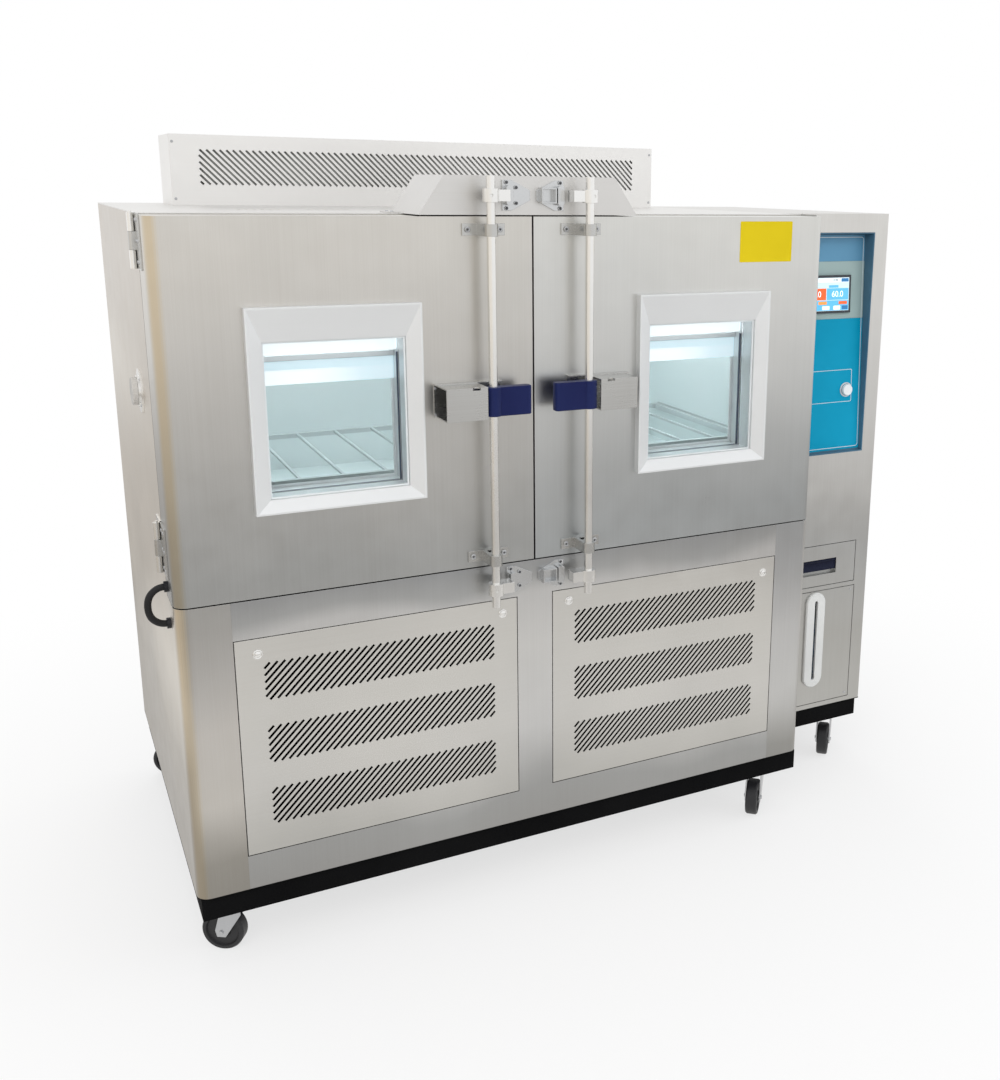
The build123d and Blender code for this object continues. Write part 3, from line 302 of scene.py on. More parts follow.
def plain(name, color, rough, metallic=0.0, speckle=0.06, scale=300.0, bump=0.08, edge=0.0008,
          wear=None, gloss=0.5):
    """Paint, plastic or rubber: a fine texture, slow colour variation and uneven gloss."""
    m = Mat(name, color, metallic, rough)
    m.set("Specular IOR Level", gloss)
    grain = m.noise((1, 1, 1), scale, 3.0, 0.6)
    slow = m.noise((1, 1, 1), 7.0, 3.0, 0.5)
    darker = tuple(c * (1 - 2 * speckle) for c in color)
    lighter = tuple(min(1.0, c * (1 + speckle) + 0.004) for c in color)
    col = m.ramp(slow, [(0.3, darker), (0.7, lighter)])
    if wear:
        geo = m.node("ShaderNodeNewGeometry")
        rub = m.ramp(geo.outputs["Pointiness"], [(0.52, (0, 0, 0)), (0.60, (1, 1, 1))])
        col = m.mix(m.math("MULTIPLY", rub, m.span(grain, 0.0, 1.0, 0.35, 0.65)), col, wear)
    m.color(col)
    m.roughness(m.math("ADD", m.span(slow, rough - 0.06, rough + 0.06, 0.3, 0.7),
                       m.span(grain, -0.03, 0.03)))
    m.bump(grain, bump, 0.0004, edge)
    return m.mat


# Painted shade and reflection of the doors: darker and cooler low down, lighter towards the top,
# with a painted warm reflection on the rounded corner of the left door
DOOR_PAINTED_SHADE = ((0.92, (0.77, 0.80, 0.83)), (1.38, (1.0, 1.0, 1.0)), (1.66, (1.06, 1.05, 1.03)))
door_steel = brushed("door_steel", (0.685, 0.665, 0.635), (0.60, 0.59, 0.565), "z", rough=0.33,
                     painted_shade_by_height=DOOR_PAINTED_SHADE, painted_shade_sideways=DOOR_PAINTED_SHADE, bend=(1.0, 0.92, 0.78))
# A cooler copy of the door steel for the right door: painted cool light
door_steel_painted_cool_light = brushed("door_steel_painted_cool_light", (0.72, 0.72, 0.705), (0.64, 0.645, 0.635), "z",
                          rough=0.33, painted_shade_by_height=DOOR_PAINTED_SHADE)
# Painted shade and reflection on the lower frame: darker near the floor and in the band under the
# doors, lighter between
body_steel = brushed("body_steel", (0.73, 0.72, 0.70), (0.65, 0.64, 0.625), "z", rough=0.34,
                     painted_shade_by_height=((0.12, (0.52, 0.52, 0.52)), (0.26, (0.56, 0.57, 0.58)),
                           (0.42, (0.93, 0.94, 0.96)), (0.62, (1.07, 1.08, 1.09)),
                           (0.77, (1.02, 1.03, 1.05)), (0.81, (0.73, 0.75, 0.77)),
                           (0.88, (0.60, 0.62, 0.65))))
body_steel_plain = brushed("body_steel_plain", (0.70, 0.69, 0.67), (0.62, 0.61, 0.60), "x",
                           rough=0.36)
# Painted shade and reflection of the corner stiles and the faces that look left or right: darker
# near the floor, lighter higher up, a bright band across the middle of those faces, and a painted
# warm reflection on the rounded corner
STILE_PAINTED_SHADE = ((0.12, (0.48, 0.48, 0.47)), (0.26, (0.54, 0.54, 0.53)), (0.42, (0.95, 0.96, 0.97)),
              (0.60, (0.97, 0.98, 1.0)), (0.74, (0.83, 0.85, 0.88)), (0.88, (0.75, 0.78, 0.81)))
SIDE_PAINTED_SHADE = ((0.12, (0.50, 0.49, 0.47)), (0.30, (0.58, 0.57, 0.56)), (0.50, (0.72, 0.71, 0.69)),
             (0.74, (1.22, 1.22, 1.20)), (1.00, (1.28, 1.27, 1.25)), (1.25, (1.20, 1.19, 1.17)),
             (1.45, (0.98, 0.96, 0.94)))
side_steel = brushed("side_steel", (0.70, 0.665, 0.62), (0.61, 0.58, 0.54), "z", rough=0.36,
                     painted_shade_by_height=STILE_PAINTED_SHADE, painted_shade_sideways=SIDE_PAINTED_SHADE, bend=(1.0, 0.93, 0.80))
# A cooler copy of the side steel for the right side: painted cool light
side_steel_painted_cool_light = brushed("side_steel_painted_cool_light", (0.68, 0.67, 0.655), (0.60, 0.595, 0.585), "z",
                          rough=0.36, painted_shade_by_height=STILE_PAINTED_SHADE, painted_shade_sideways=SIDE_PAINTED_SHADE)
roof_steel = brushed("roof_steel", (0.86, 0.85, 0.83), (0.79, 0.78, 0.76), "x", rough=0.40)
# Painted shade and reflection on the column: darker low down, lighter from about 0.9 m up
column_steel = brushed("column_steel", (0.66, 0.655, 0.64), (0.59, 0.585, 0.57), "z", rough=0.34,
                       painted_shade_by_height=((0.10, (0.78, 0.78, 0.77)), (0.45, (0.80, 0.80, 0.79)),
                             (0.70, (0.92, 0.94, 0.96)), (0.88, (1.16, 1.17, 1.18)),
                             (1.30, (1.16, 1.16, 1.16)), (1.66, (1.14, 1.13, 1.12))))
housing_steel = brushed("housing_steel", (0.79, 0.78, 0.765), (0.72, 0.71, 0.695), "x", rough=0.42)
duct_steel = brushed("duct_steel", (0.93, 0.92, 0.905), (0.87, 0.86, 0.845), "x", rough=0.42)
# Painted shade on the vent panels: darker towards the floor
panel_steel = brushed("panel_steel", (0.80, 0.785, 0.755), (0.73, 0.72, 0.70), "x", rough=0.33,
                      painted_shade_by_height=((0.16, (0.63, 0.63, 0.62)), (0.28, (0.72, 0.72, 0.71)),
                            (0.45, (0.88, 0.88, 0.88)), (0.65, (0.96, 0.96, 0.95)),
                            (0.80, (1.0, 1.0, 0.99))))
frame_alu = brushed("frame_aluminium", (0.83, 0.84, 0.845), (0.79, 0.80, 0.805), "x", rough=0.50,
                    bump=0.04, streak=0.05, metallic=0.62)
bright_steel = brushed("bright_steel", (0.93, 0.925, 0.91), (0.82, 0.815, 0.80), "z", rough=0.24)
cast_steel = brushed("cast_steel", (0.70, 0.71, 0.72), (0.58, 0.59, 0.60), "y", rough=0.26)
fold_steel = brushed("fold_steel", (0.62, 0.62, 0.61), (0.52, 0.52, 0.51), "x", rough=0.26)
liner_steel = brushed("liner_steel", (0.74, 0.80, 0.80), (0.66, 0.73, 0.735), "x", rough=0.50,
                      streak=0.05, metallic=0.6)
lining_alu = brushed("lining_aluminium", (0.80, 0.83, 0.84), (0.74, 0.77, 0.78), "x", rough=0.35,
                     streak=0.05, metallic=0.5)
shelf_wire = brushed("shelf_wire", (0.52, 0.57, 0.575), (0.46, 0.51, 0.52), "x", rough=0.45,
                     streak=0.05, metallic=0.6)
zinc = brushed("zinc_plate", (0.60, 0.61, 0.63), (0.44, 0.45, 0.47), "z", rough=0.32)
aluminium = brushed("coil_aluminium", (0.78, 0.79, 0.80), (0.66, 0.67, 0.68), "z", rough=0.35)
black_paint = plain("black_paint", (0.0015, 0.0015, 0.0020), 0.70, scale=500, bump=0.12,
                    gloss=0.02, wear=(0.012, 0.012, 0.012))
black_rubber = plain("black_rubber", (0.008, 0.008, 0.009), 0.50, scale=900, bump=0.10, gloss=0.35)
grey_rubber = plain("grey_rubber", (0.60, 0.58, 0.55), 0.60, scale=700, bump=0.12)
seal_grey = plain("seal_grey", (0.30, 0.29, 0.28), 0.62, scale=700, bump=0.10)
seal_dark = plain("seal_dark", (0.012, 0.030, 0.085), 0.55, scale=700, bump=0.08, gloss=0.3)
seal_white = plain("seal_white", (0.86, 0.89, 0.90), 0.45, scale=500, bump=0.08, speckle=0.03)
black_plastic = plain("black_plastic", (0.010, 0.010, 0.013), 0.36, scale=900, bump=0.10,
                      gloss=0.35)
navy_plastic = plain("navy_plastic", (0.004, 0.008, 0.066), 0.38, scale=700, bump=0.18, gloss=0.18,
                     wear=(0.02, 0.035, 0.13))
white_plastic = plain("white_plastic", (0.80, 0.80, 0.78), 0.36, scale=600, bump=0.05, speckle=0.03)
milk_plastic = plain("milk_plastic", (0.78, 0.80, 0.80), 0.30, scale=400, bump=0.04, speckle=0.03)
foam = plain("foam", (0.62, 0.55, 0.34), 0.85, scale=160, bump=0.5, speckle=0.10)
filter_grey = plain("filter_grey", (0.42, 0.42, 0.41), 0.90, scale=240, bump=0.7, speckle=0.12)
# Painted shade: the dark of the bolt sockets' recesses
socket_shade_grey = plain("socket_shade_grey", (0.085, 0.085, 0.09), 0.40, scale=600, bump=0.15, gloss=0.4)
latch_navy = plain("latch_navy", (0.004, 0.005, 0.020), 0.42, scale=700, bump=0.10, gloss=0.12,
                   wear=(0.02, 0.025, 0.05))
wheel_black = plain("wheel_black", (0.012, 0.012, 0.014), 0.50, scale=500, bump=0.10, speckle=0.08)
machine_black = plain("machine_black", (0.012, 0.012, 0.013), 0.45, scale=300, bump=0.15, gloss=0.3)
tray_blue = plain("tray_blue", (0.070, 0.165, 0.245), 0.46, scale=700, bump=0.06, speckle=0.06,
                  gloss=0.35)
film_teal = plain("film_teal", (0.001, 0.335, 0.545), 0.45, scale=900, bump=0.05, speckle=0.03,
                  gloss=0.10)
film_header = plain("film_header", (0.120, 0.310, 0.480), 0.42, scale=900, bump=0.05, speckle=0.03,
                    gloss=0.25)
film_grey = plain("film_grey", (0.36, 0.475, 0.465), 0.42, scale=900, bump=0.05, speckle=0.03,
                  gloss=0.3)
film_line = plain("film_line", (0.72, 0.80, 0.82), 0.42, scale=900, bump=0.03, speckle=0.02)
label_yellow = plain("label_yellow", (0.72, 0.55, 0.007), 0.50, scale=900, bump=0.04, speckle=0.03,
                     gloss=0.1)


def glass_mat(name, tint):
    """Clear glass with a thin uneven haze."""
    m = Mat(name, tint, 0.0, 0.02)
    m.set("Transmission Weight", 1.0)
    m.set("IOR", 1.28)
    haze = m.noise((1, 1, 1), 9.0, 3.0, 0.5)
    m.roughness(m.span(haze, 0.0, 0.035, 0.45, 0.75))
    return m.mat


glass = glass_mat("window_glass", (0.965, 0.985, 0.99))


def glow(name, color, strength):
    """A lit lamp or screen: a plain diffuse body with light of its own, a little uneven."""
    m = Mat(name, color, 0.0, 0.4)
    m.set("Emission Color", (*color, 1))
    m.set("Emission Strength", strength)
    n = m.noise((1, 1, 1), 30.0, 2.0, 0.5)
    m.roughness(m.span(n, 0.32, 0.48))
    return m.mat


lamp_white = glow("lamp_white", (0.93, 0.98, 1.0), 0.75)
screen_dark = plain("screen_dark", (0.03, 0.035, 0.045), 0.18, scale=900, bump=0.01)
screen_bar = glow("screen_bar", (0.74, 0.82, 0.84), 0.60)
screen_back = glow("screen_back", (0.62, 0.78, 0.84), 0.40)
screen_orange = glow("screen_orange", (0.80, 0.11, 0.02), 0.60)
screen_amber = glow("screen_amber", (0.86, 0.30, 0.06), 0.60)
screen_blue = glow("screen_blue", (0.10, 0.42, 0.68), 0.60)
screen_navy = glow("screen_navy", (0.02, 0.16, 0.38), 0.50)
screen_white = glow("screen_white", (0.85, 0.90, 0.92), 0.80)
button_white = plain("button_white", (0.86, 0.88, 0.89), 0.28, scale=500, bump=0.02, speckle=0.02)
water_tube = glass_mat("sight_tube", (0.90, 0.97, 0.98))


def diffuser():
    """The frosted shade of a window lamp: pale blue above, whiter towards its lit lower end."""
    m = Mat("lamp_shade", (0.80, 0.88, 0.91), 0.0, 0.5)
    place = m.split(m.coord.outputs["Generated"])
    band = m.ramp(place["Z"], [(0.56, (1, 1, 1)), (0.66, (0, 0, 0))])
    uneven = m.span(m.noise((1, 1, 1), 12.0), -0.08, 0.08)
    beside = m.ramp(m.math("ADD", place["X"], uneven),
                    [(0.42, (1, 1, 1)), (0.80, (0.15, 0.15, 0.15))])
    lit = m.mix(m.math("MULTIPLY", band, beside), (0.52, 0.66, 0.72), (0.95, 0.98, 1.0))
    m.color((0.55, 0.62, 0.65))
    m.link(lit, m.bsdf.inputs["Emission Color"])
    m.set("Emission Strength", 0.80)
    return m.mat


lamp_shade = diffuser()

by_node = {
    "door_left_skin": door_steel, "door_right_skin": door_steel_painted_cool_light,
    "side_skin_left": side_steel, "side_skin_right": side_steel_painted_cool_light,
    "rear_skin": side_steel, "top_skin": roof_steel, "lower_front_frame": body_steel,
    "vent_panel_left": panel_steel, "vent_panel_right": panel_steel,
    "plinth": black_paint, "caster_plates": zinc, "insulation_walls": foam,
    "chamber_liner": liner_steel, "air_baffle": liner_steel, "air_handler": aluminium,
    "circulation_fan": aluminium, "shelf": shelf_wire, "refrigeration_unit": machine_black,
    "door_left_core": foam, "door_right_core": foam,
    "door_left_gasket": seal_grey, "door_right_gasket": seal_grey,
    "window_frame_left": frame_alu, "window_frame_right": frame_alu,
    "window_glass_left": glass, "window_glass_right": glass,
    "lock_rod_left": bright_steel, "lock_rod_right": bright_steel,
    "grip_left": navy_plastic, "grip_right": navy_plastic,
    "door_fittings_left": fold_steel, "door_fittings_right": fold_steel,
    "hinge_fixed_leaves": bright_steel, "lock_keepers": cast_steel,
    "lock_housing": housing_steel, "rear_housing": duct_steel,
    "column_shell": column_steel, "control_panel": tray_blue, "touch_screen": screen_dark,
    "button_light": button_white, "tank_flap": column_steel, "flap_latch": latch_navy,
    "gauge_panel": column_steel, "level_gauge": white_plastic, "water_tank": milk_plastic,
    "port_flange": bright_steel, "port_plug": grey_rubber,
    "gland_door": black_plastic, "gland_body": black_plastic,
}
for i in range(1, 6):
    by_node[f"caster_fork_{i}"] = zinc
    by_node[f"caster_wheel_{i}"] = wheel_black
for name, material in by_node.items():
    obj = nodes[name]
    if not obj.material_slots:
        obj.data.materials.append(None)
    for s in obj.material_slots:
        s.material = material


# Making pieces
def piece(name, bm, material, body, smooth=False):
    """Turn a bmesh into an object that rides on a body."""
    mesh = bpy.data.meshes.new(name)
    bm.normal_update()
    bm.to_mesh(mesh)
    bm.free()
    obj = bpy.data.objects.new(name, mesh)
    scene.collection.objects.link(obj)
    mesh.materials.append(material)
    if smooth:
        for p in mesh.polygons:
            p.use_smooth = True
    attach(obj, body)


def local(x, y, z):
    """A vector of millimetres, in metres."""
    return Vector((x / 1000, y / 1000, z / 1000))


def add_box(bm, x0, x1, y0, y1, z0, z1, r, seg=2):
    """A block with rounded edges, in cabinet millimetres."""
    made = bmesh.ops.create_cube(bm, size=1.0)["verts"]
    size = Matrix.Diagonal((*local(x1 - x0, y1 - y0, z1 - z0), 1))
    at = Matrix.Translation(P((x0 + x1) / 2, (y0 + y1) / 2, (z0 + z1) / 2))
    bmesh.ops.transform(bm, matrix=at @ size, verts=made)
    edges = {e for v in made for e in v.link_edges}
    bmesh.ops.bevel(bm, geom=list(edges), offset=r / 1000, segments=seg, profile=0.5,
                    affect="EDGES")


def add_lathe(bm, profile, place, steps=28):
    """Turn a profile of (radius, height) in millimetres round the place's own Z."""
    rings = []
    for radius, height in profile:
        if radius < 1e-6:
            rings.append([bm.verts.new(place @ local(0, 0, height))])
            continue
        ring = []
        for i in range(steps):
            a = 2 * math.pi * i / steps
            point = local(radius * math.cos(a), radius * math.sin(a), height)
            ring.append(bm.verts.new(place @ point))
        rings.append(ring)
    for lower, upper in zip(rings, rings[1:]):
        for i in range(steps):
            j = (i + 1) % steps
            if len(lower) == 1:
                bm.faces.new((lower[0], upper[j], upper[i]))
            elif len(upper) == 1:
                bm.faces.new((lower[i], lower[j], upper[0]))
            else:
                bm.faces.new((lower[i], lower[j], upper[j], upper[i]))


def facing_front(x, y, z):
    """A place whose Z looks out of the front, -Y."""
    return Matrix.Translation(P(x, y, z)) @ Matrix.Rotation(math.pi / 2, 4, "X")


def facing_side(x, y, z, side):
    """A place whose Z looks out of the left side (-1) or the right side (+1)."""
    return Matrix.Translation(P(x, y, z)) @ Matrix.Rotation(side * math.pi / 2, 4, "Y")


def facing_up(x, y, z):
    """A place whose Z looks up."""
    return Matrix.Translation(P(x, y, z))


def add_screw(bm, place, radius, height):
    """A domed screw head with a rim and a round recess."""
    add_lathe(bm, [(radius * 1.02, 0), (radius, height * 0.35), (radius * 0.86, height * 0.72),
                   (radius * 0.6, height * 0.94), (radius * 0.24, height),
                   (radius * 0.2, height * 0.62), (0, height * 0.58)], place, 20)


def add_plate(bm, outline, place, t0, t1):
    """A plate of an outline in the place's XY plane, in millimetres, from t0 to t1."""
    low = [bm.verts.new(place @ local(x, y, t0)) for x, y in outline]
    high = [bm.verts.new(place @ local(x, y, t1)) for x, y in outline]
    bm.faces.new(list(reversed(low)))
    bm.faces.new(high)
    for i in range(len(outline)):
        j = (i + 1) % len(outline)
        bm.faces.new((low[i], low[j], high[j], high[i]))


def round_rect(x0, x1, y0, y1, r, steps=6):
    """The outline of a rectangle with rounded corners."""
    pts = []
    for cx, cy, a0 in ((x1 - r, y1 - r, 0), (x0 + r, y1 - r, 90), (x0 + r, y0 + r, 180),
                       (x1 - r, y0 + r, 270)):
        for i in range(steps + 1):
            a = math.radians(a0 + 90 * i / steps)
            pts.append((cx + r * math.cos(a), cy + r * math.sin(a)))
    return pts


def centred(half_w, half_h, inset, r):
    """A rounded rectangle round the origin, drawn in by an inset."""
    return round_rect(inset - half_w, half_w - inset, inset - half_h, half_h - inset, r)


def add_ring(bm, outer, inner, place, t0, t1):
    """A flat ring between two outlines with as many points each."""
    ol, oh, il, ih = ([bm.verts.new(place @ local(x, y, t)) for x, y in pts]
                      for pts, t in ((outer, t0), (outer, t1), (inner, t0), (inner, t1)))
    for i in range(len(outer)):
        j = (i + 1) % len(outer)
        bm.faces.new((oh[i], oh[j], ih[j], ih[i]))
        bm.faces.new((ol[j], ol[i], il[i], il[j]))
        bm.faces.new((ol[i], ol[j], oh[j], oh[i]))
        bm.faces.new((il[j], il[i], ih[i], ih[j]))


# Door cable: one smooth line from the gland on the door to the gland on the cabinet
route = [(-8, 87, 906), (-22, 87, 906), (-43, 87, 885), (-43, 87, 844), (-22, 87, 823),
         (-8, 87, 823)]
curve = bpy.data.curves.new("door_cord", "CURVE")
curve.dimensions = "3D"
spline = curve.splines.new("NURBS")
spline.points.add(len(route) - 1)
for point, xyz in zip(spline.points, route):
    point.co = (*P(*xyz), 1)
spline.order_u = 3
spline.use_endpoint_u = True
spline.resolution_u = 12
cord_line = bpy.data.objects.new("door_cord_line", curve)
cord_path = [v.co.copy() for v in bpy.data.meshes.new_from_object(cord_line).vertices]
curve.bevel_depth = 0.0075
curve.bevel_resolution = 5
curve.use_fill_caps = True
tube = bpy.data.meshes.new_from_object(cord_line)
bpy.data.objects.remove(cord_line)
tube.materials.clear()
tube.materials.append(black_rubber)
for face in tube.polygons:
    face.use_smooth = True
cord = bpy.data.objects.new("door_cord", tube)
scene.collection.objects.link(cord)
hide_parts("door_cable")
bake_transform(cord)

# Windows: a lamp bar over a rail and a frosted shade, all behind the panes, the lining of the
# tunnel, a thin dark spacer between the panes, and a pale bead round the front and back ones
LAMP_SIDE, LAMP_Y, LAMP_Z = 2, (64, 84), (1394, 1431)
RAIL_Y, RAIL_Z = (86, 97), (1378, 1391)
CLAMP_Y, CLAMP_Z, CLAMP_IN, CLAMP_HALF = (85, 96), (1390, 1430), 9, 5
SHADE_Y, SHADE_Z = (92, 95), (1326, 1377)
SPACER_SIDE, SPACER_WIDTH, SPACER_Y, SPACER_Z1 = 1, 2.4, 60, 1390
FRONT_LINING_Y, BACK_LINING_Y = 51.4, 99.4
FRONT_BEAD_Y, BACK_BEAD_Y = 3.8, 99.6
WINDOW_MID = (WINDOW_Z0 + WINDOW_Z1) / 2


def window_ring(outer, inner, r):
    """The two outlines of a ring in the window's tunnel, as insets from its walls."""
    half_w, half_h = WINDOW_WIDTH / 2, (WINDOW_Z1 - WINDOW_Z0) / 2
    return centred(half_w, half_h, outer, r), centred(half_w, half_h, inner, r)


for side, sign in (("left", -1), ("right", 1)):
    door = f"door_{side}"
    ends = (MIDDLE + sign * WINDOW_FROM_MIDDLE, MIDDLE + sign * (WINDOW_FROM_MIDDLE + WINDOW_WIDTH))
    a, b = min(ends), max(ends)
    centre = (a + b) / 2
    bm = bmesh.new()
    add_box(bm, a + LAMP_SIDE, b - LAMP_SIDE, *LAMP_Y, *LAMP_Z, 4, 3)
    piece(f"window_lamp_{side}", bm, lamp_white, door)
    bm = bmesh.new()
    add_box(bm, a + LAMP_SIDE, b - LAMP_SIDE, *RAIL_Y, *RAIL_Z, 1.2)
    for end in (a + CLAMP_IN, b - CLAMP_IN):
        add_box(bm, end - CLAMP_HALF, end + CLAMP_HALF, *CLAMP_Y, *CLAMP_Z, 1.5)
    piece(f"lamp_rail_{side}", bm, frame_alu, door)
    bm = bmesh.new()
    add_box(bm, a + LAMP_SIDE, b - LAMP_SIDE, *SHADE_Y, *SHADE_Z, 0.8)
    piece(f"lamp_shade_{side}", bm, lamp_shade, door)
    bm = bmesh.new()
    lining = window_ring(0.2, 0.9, 0.5)
    add_ring(bm, *lining, facing_front(centre, FRONT_LINING_Y, WINDOW_MID), 0, 40)
    add_ring(bm, *lining, facing_front(centre, BACK_LINING_Y, WINDOW_MID), 0, 40.6)
    piece(f"window_lining_{side}", bm, lining_alu, door)
    bm = bmesh.new()
    x0, x1, z0 = a + SPACER_SIDE, b - SPACER_SIDE, WINDOW_Z0 + SPACER_SIDE
    for end in (x0, x1 - SPACER_WIDTH):
        add_box(bm, end, end + SPACER_WIDTH, SPACER_Y, SPACER_Y + 7, z0, SPACER_Z1, 0.5)
    add_box(bm, x0, x1, SPACER_Y, SPACER_Y + 2.5, z0, z0 + 0.8, 0.2)
    piece(f"pane_spacer_{side}", bm, seal_dark, door)
    bm = bmesh.new()
    add_ring(bm, *window_ring(0.6, 4.2, 1.5), facing_front(centre, FRONT_BEAD_Y, WINDOW_MID),
             0, 3.6)
    add_ring(bm, *window_ring(1.0, 7.0, 1.5), facing_front(centre, BACK_BEAD_Y, WINDOW_MID),
             0, 3.0)
    piece(f"pane_bead_{side}", bm, seal_white, door)

# Plate on the right door
PLATE_X, PLATE_FROM_TOP, PLATE_HALF_W, PLATE_HALF_H = 1452, 64, 78, 50
bm = bmesh.new()
add_plate(bm, centred(PLATE_HALF_W, PLATE_HALF_H, 0, 3),
          facing_front(PLATE_X, 0, TOP - PLATE_FROM_TOP), 0, 0.5)
piece("yellow_plate", bm, label_yellow, "door_right")


# Control panel: films on its leaning face
def on_face(x, from_top, out=0.0):
    """A place on the leaning face, its Z out of the face and its Y up along it."""
    share = from_top / FACE_RISE
    y = COL_Y + FACE_DEEP - (FACE_DEEP - FACE_SHALLOW) * share
    lean = Matrix.Rotation(math.pi / 2 - LEAN, 4, "X")
    return Matrix.Translation(P(x, y, FACE_TOP - from_top)) @ lean @ Matrix.Translation(
        local(0, 0, out))


FILM_MARGIN = 4.5
FILM_HALF_W = (COL_R - COL_L) / 2 - RECESS_SIDE - FILM_MARGIN


def film(name, top, bottom, material):
    """A film across the face, between two distances from its top."""
    half_h = (bottom - top) / 2 / math.cos(LEAN)
    middle = on_face(COL_C, (top + bottom) / 2)
    bm = bmesh.new()
    add_plate(bm, centred(FILM_HALF_W, half_h, 0, 2.0), middle, 0.02, 0.4)
    piece(name, bm, material, "cabinet")


def film_outline(name, x, from_top, half_w, half_h, outer, inner, r, inner_r):
    """A thin line drawn round a part of the face, between two insets."""
    bm = bmesh.new()
    add_ring(bm, centred(half_w, half_h, outer, r), centred(half_w, half_h, inner, inner_r),
             on_face(x, from_top), 0.4, 0.6)
    piece(name, bm, film_line, "cabinet")


BORDER_HALF_H, BORDER_FROM_TOP = 311, 317.5
BOX_HALF_W, BOX_HALF_H, BOX_FROM_TOP = 107, 48, 440
film("film_header", 5, 79, film_header)
film("film_grey", 79.4, 243, film_grey)
film("film_teal", 243.4, 630, film_teal)
film_outline("film_border", COL_C, BORDER_FROM_TOP, FILM_HALF_W, BORDER_HALF_H, 4, 6, 9, 7)
film_outline("film_box", COL_C - 1, BOX_FROM_TOP, BOX_HALF_W, BOX_HALF_H, 0, 1.6, 4, 3)

# Touch screen: a page of plain tiles with two readings and a clock
SCREEN_FROM_TOP, SCREEN_OUT = 172, 8
screen_place = on_face(COL_C, SCREEN_FROM_TOP, SCREEN_OUT)
BACK, TILE, KEY = (0.02, 0.25), (0.25, 0.35), (0.35, 0.45)
for name, x0, x1, y0, y1, tint, r, layer in (
        ("page", -80, 80, -47, 47, screen_back, 1.5, BACK),
        ("page_bar", -79, 79, 34, 46, screen_bar, 1.0, TILE),
        ("page_corner", 52, 78, 35, 45, screen_navy, 1.0, KEY),
        ("page_warm", -78, -1, -16, 17, screen_orange, 1.5, TILE),
        ("page_warm_top", -78, -34, 17.5, 28, screen_amber, 1.5, TILE),
        ("page_cool", 1, 78, -16, 17, screen_blue, 1.5, TILE),
        ("page_cool_top", 8, 42, 18.5, 26, screen_blue, 1.5, TILE),
        ("page_foot", -79, 79, -46, -17.5, screen_blue, 1.5, TILE),
        ("page_key_0", -28, 2, -29, -20, screen_amber, 1.5, KEY),
        ("page_key_1", 44, 74, -29, -20, screen_orange, 1.5, KEY),
        ("page_key_2", -14, 12, -44, -33, screen_bar, 1.5, KEY),
        ("page_key_3", 26, 50, -44, -33, screen_white, 1.5, KEY),
        ("page_key_4", 56, 77, -44, -33, screen_navy, 1.5, KEY),
        ("page_key_5", -74, -44, -44, -33, screen_navy, 1.5, KEY)):
    bm = bmesh.new()
    add_plate(bm, round_rect(x0, x1, y0, y1, r), screen_place, *layer)
    piece(name, bm, tint, "cabinet")
for tag, words, x, y, size, tint in (("reading_a", "25.0", -39, 0, 24, screen_white),
                                     ("reading_b", "60.0", 39, 0, 24, screen_white),
                                     ("clock", "12:00", 30, 40, 9, screen_dark)):
    words_curve = bpy.data.curves.new(tag, "FONT")
    words_curve.body = words
    words_curve.size = size / 1000
    words_curve.align_x = "CENTER"
    words_curve.align_y = "CENTER"
    words_curve.extrude = 0.00005
    words_curve.materials.append(tint)
    o = bpy.data.objects.new(tag, words_curve)
    scene.collection.objects.link(o)
    o.matrix_world = screen_place @ Matrix.Translation(local(x, y, 0.42))
    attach(o, "cabinet")

# Rim of the round button
BUTTON_FROM_SIDE, BUTTON_FROM_TOP = 58, 452
bm = bmesh.new()
add_lathe(bm, [(17.6, 0), (17.6, 2.2), (18.4, 3.0), (20.2, 3.0), (21.5, 1.6), (21.5, 0)],
          on_face(COL_R - RECESS_SIDE - BUTTON_FROM_SIDE, BUTTON_FROM_TOP, 0.4), 36)
piece("button_rim", bm, frame_alu, "cabinet", True)

# Level gauge: a sight tube before a dark back
TUBE_RADIUS, TUBE_LENGTH = 3.6, 252
BACK_HALF_W, BACK_HALF_H = 8, 132
bm = bmesh.new()
add_lathe(bm, [(0, 0), (TUBE_RADIUS, 0), (TUBE_RADIUS, TUBE_LENGTH), (0, TUBE_LENGTH)],
          facing_up(COL_C, COL_Y - 2, GAUGE_Z - TUBE_LENGTH / 2), 16)
piece("sight_tube", bm, water_tube, "cabinet", True)
bm = bmesh.new()
add_plate(bm, centred(BACK_HALF_W, BACK_HALF_H, 0, 6),
          facing_front(COL_C, COL_Y + 5.5, GAUGE_Z), 0, 1.0)
piece("sight_back", bm, seal_dark, "cabinet")

# Fasteners of the lower panels, at their (x, z)
PANEL_FASTENERS = ((162, 752), (733, 753), (908, 758), (1484, 747))
bm = bmesh.new()
for x, z in PANEL_FASTENERS:
    add_lathe(bm, [(11.5, 0), (11.2, 1.4), (9.8, 2.4), (8.4, 2.6), (8.0, 1.8), (6.4, 1.9),
                   (5.6, 3.4), (0, 3.7)], facing_front(x, 0, z), 28)
piece("panel_fasteners", bm, bright_steel, "cabinet", True)

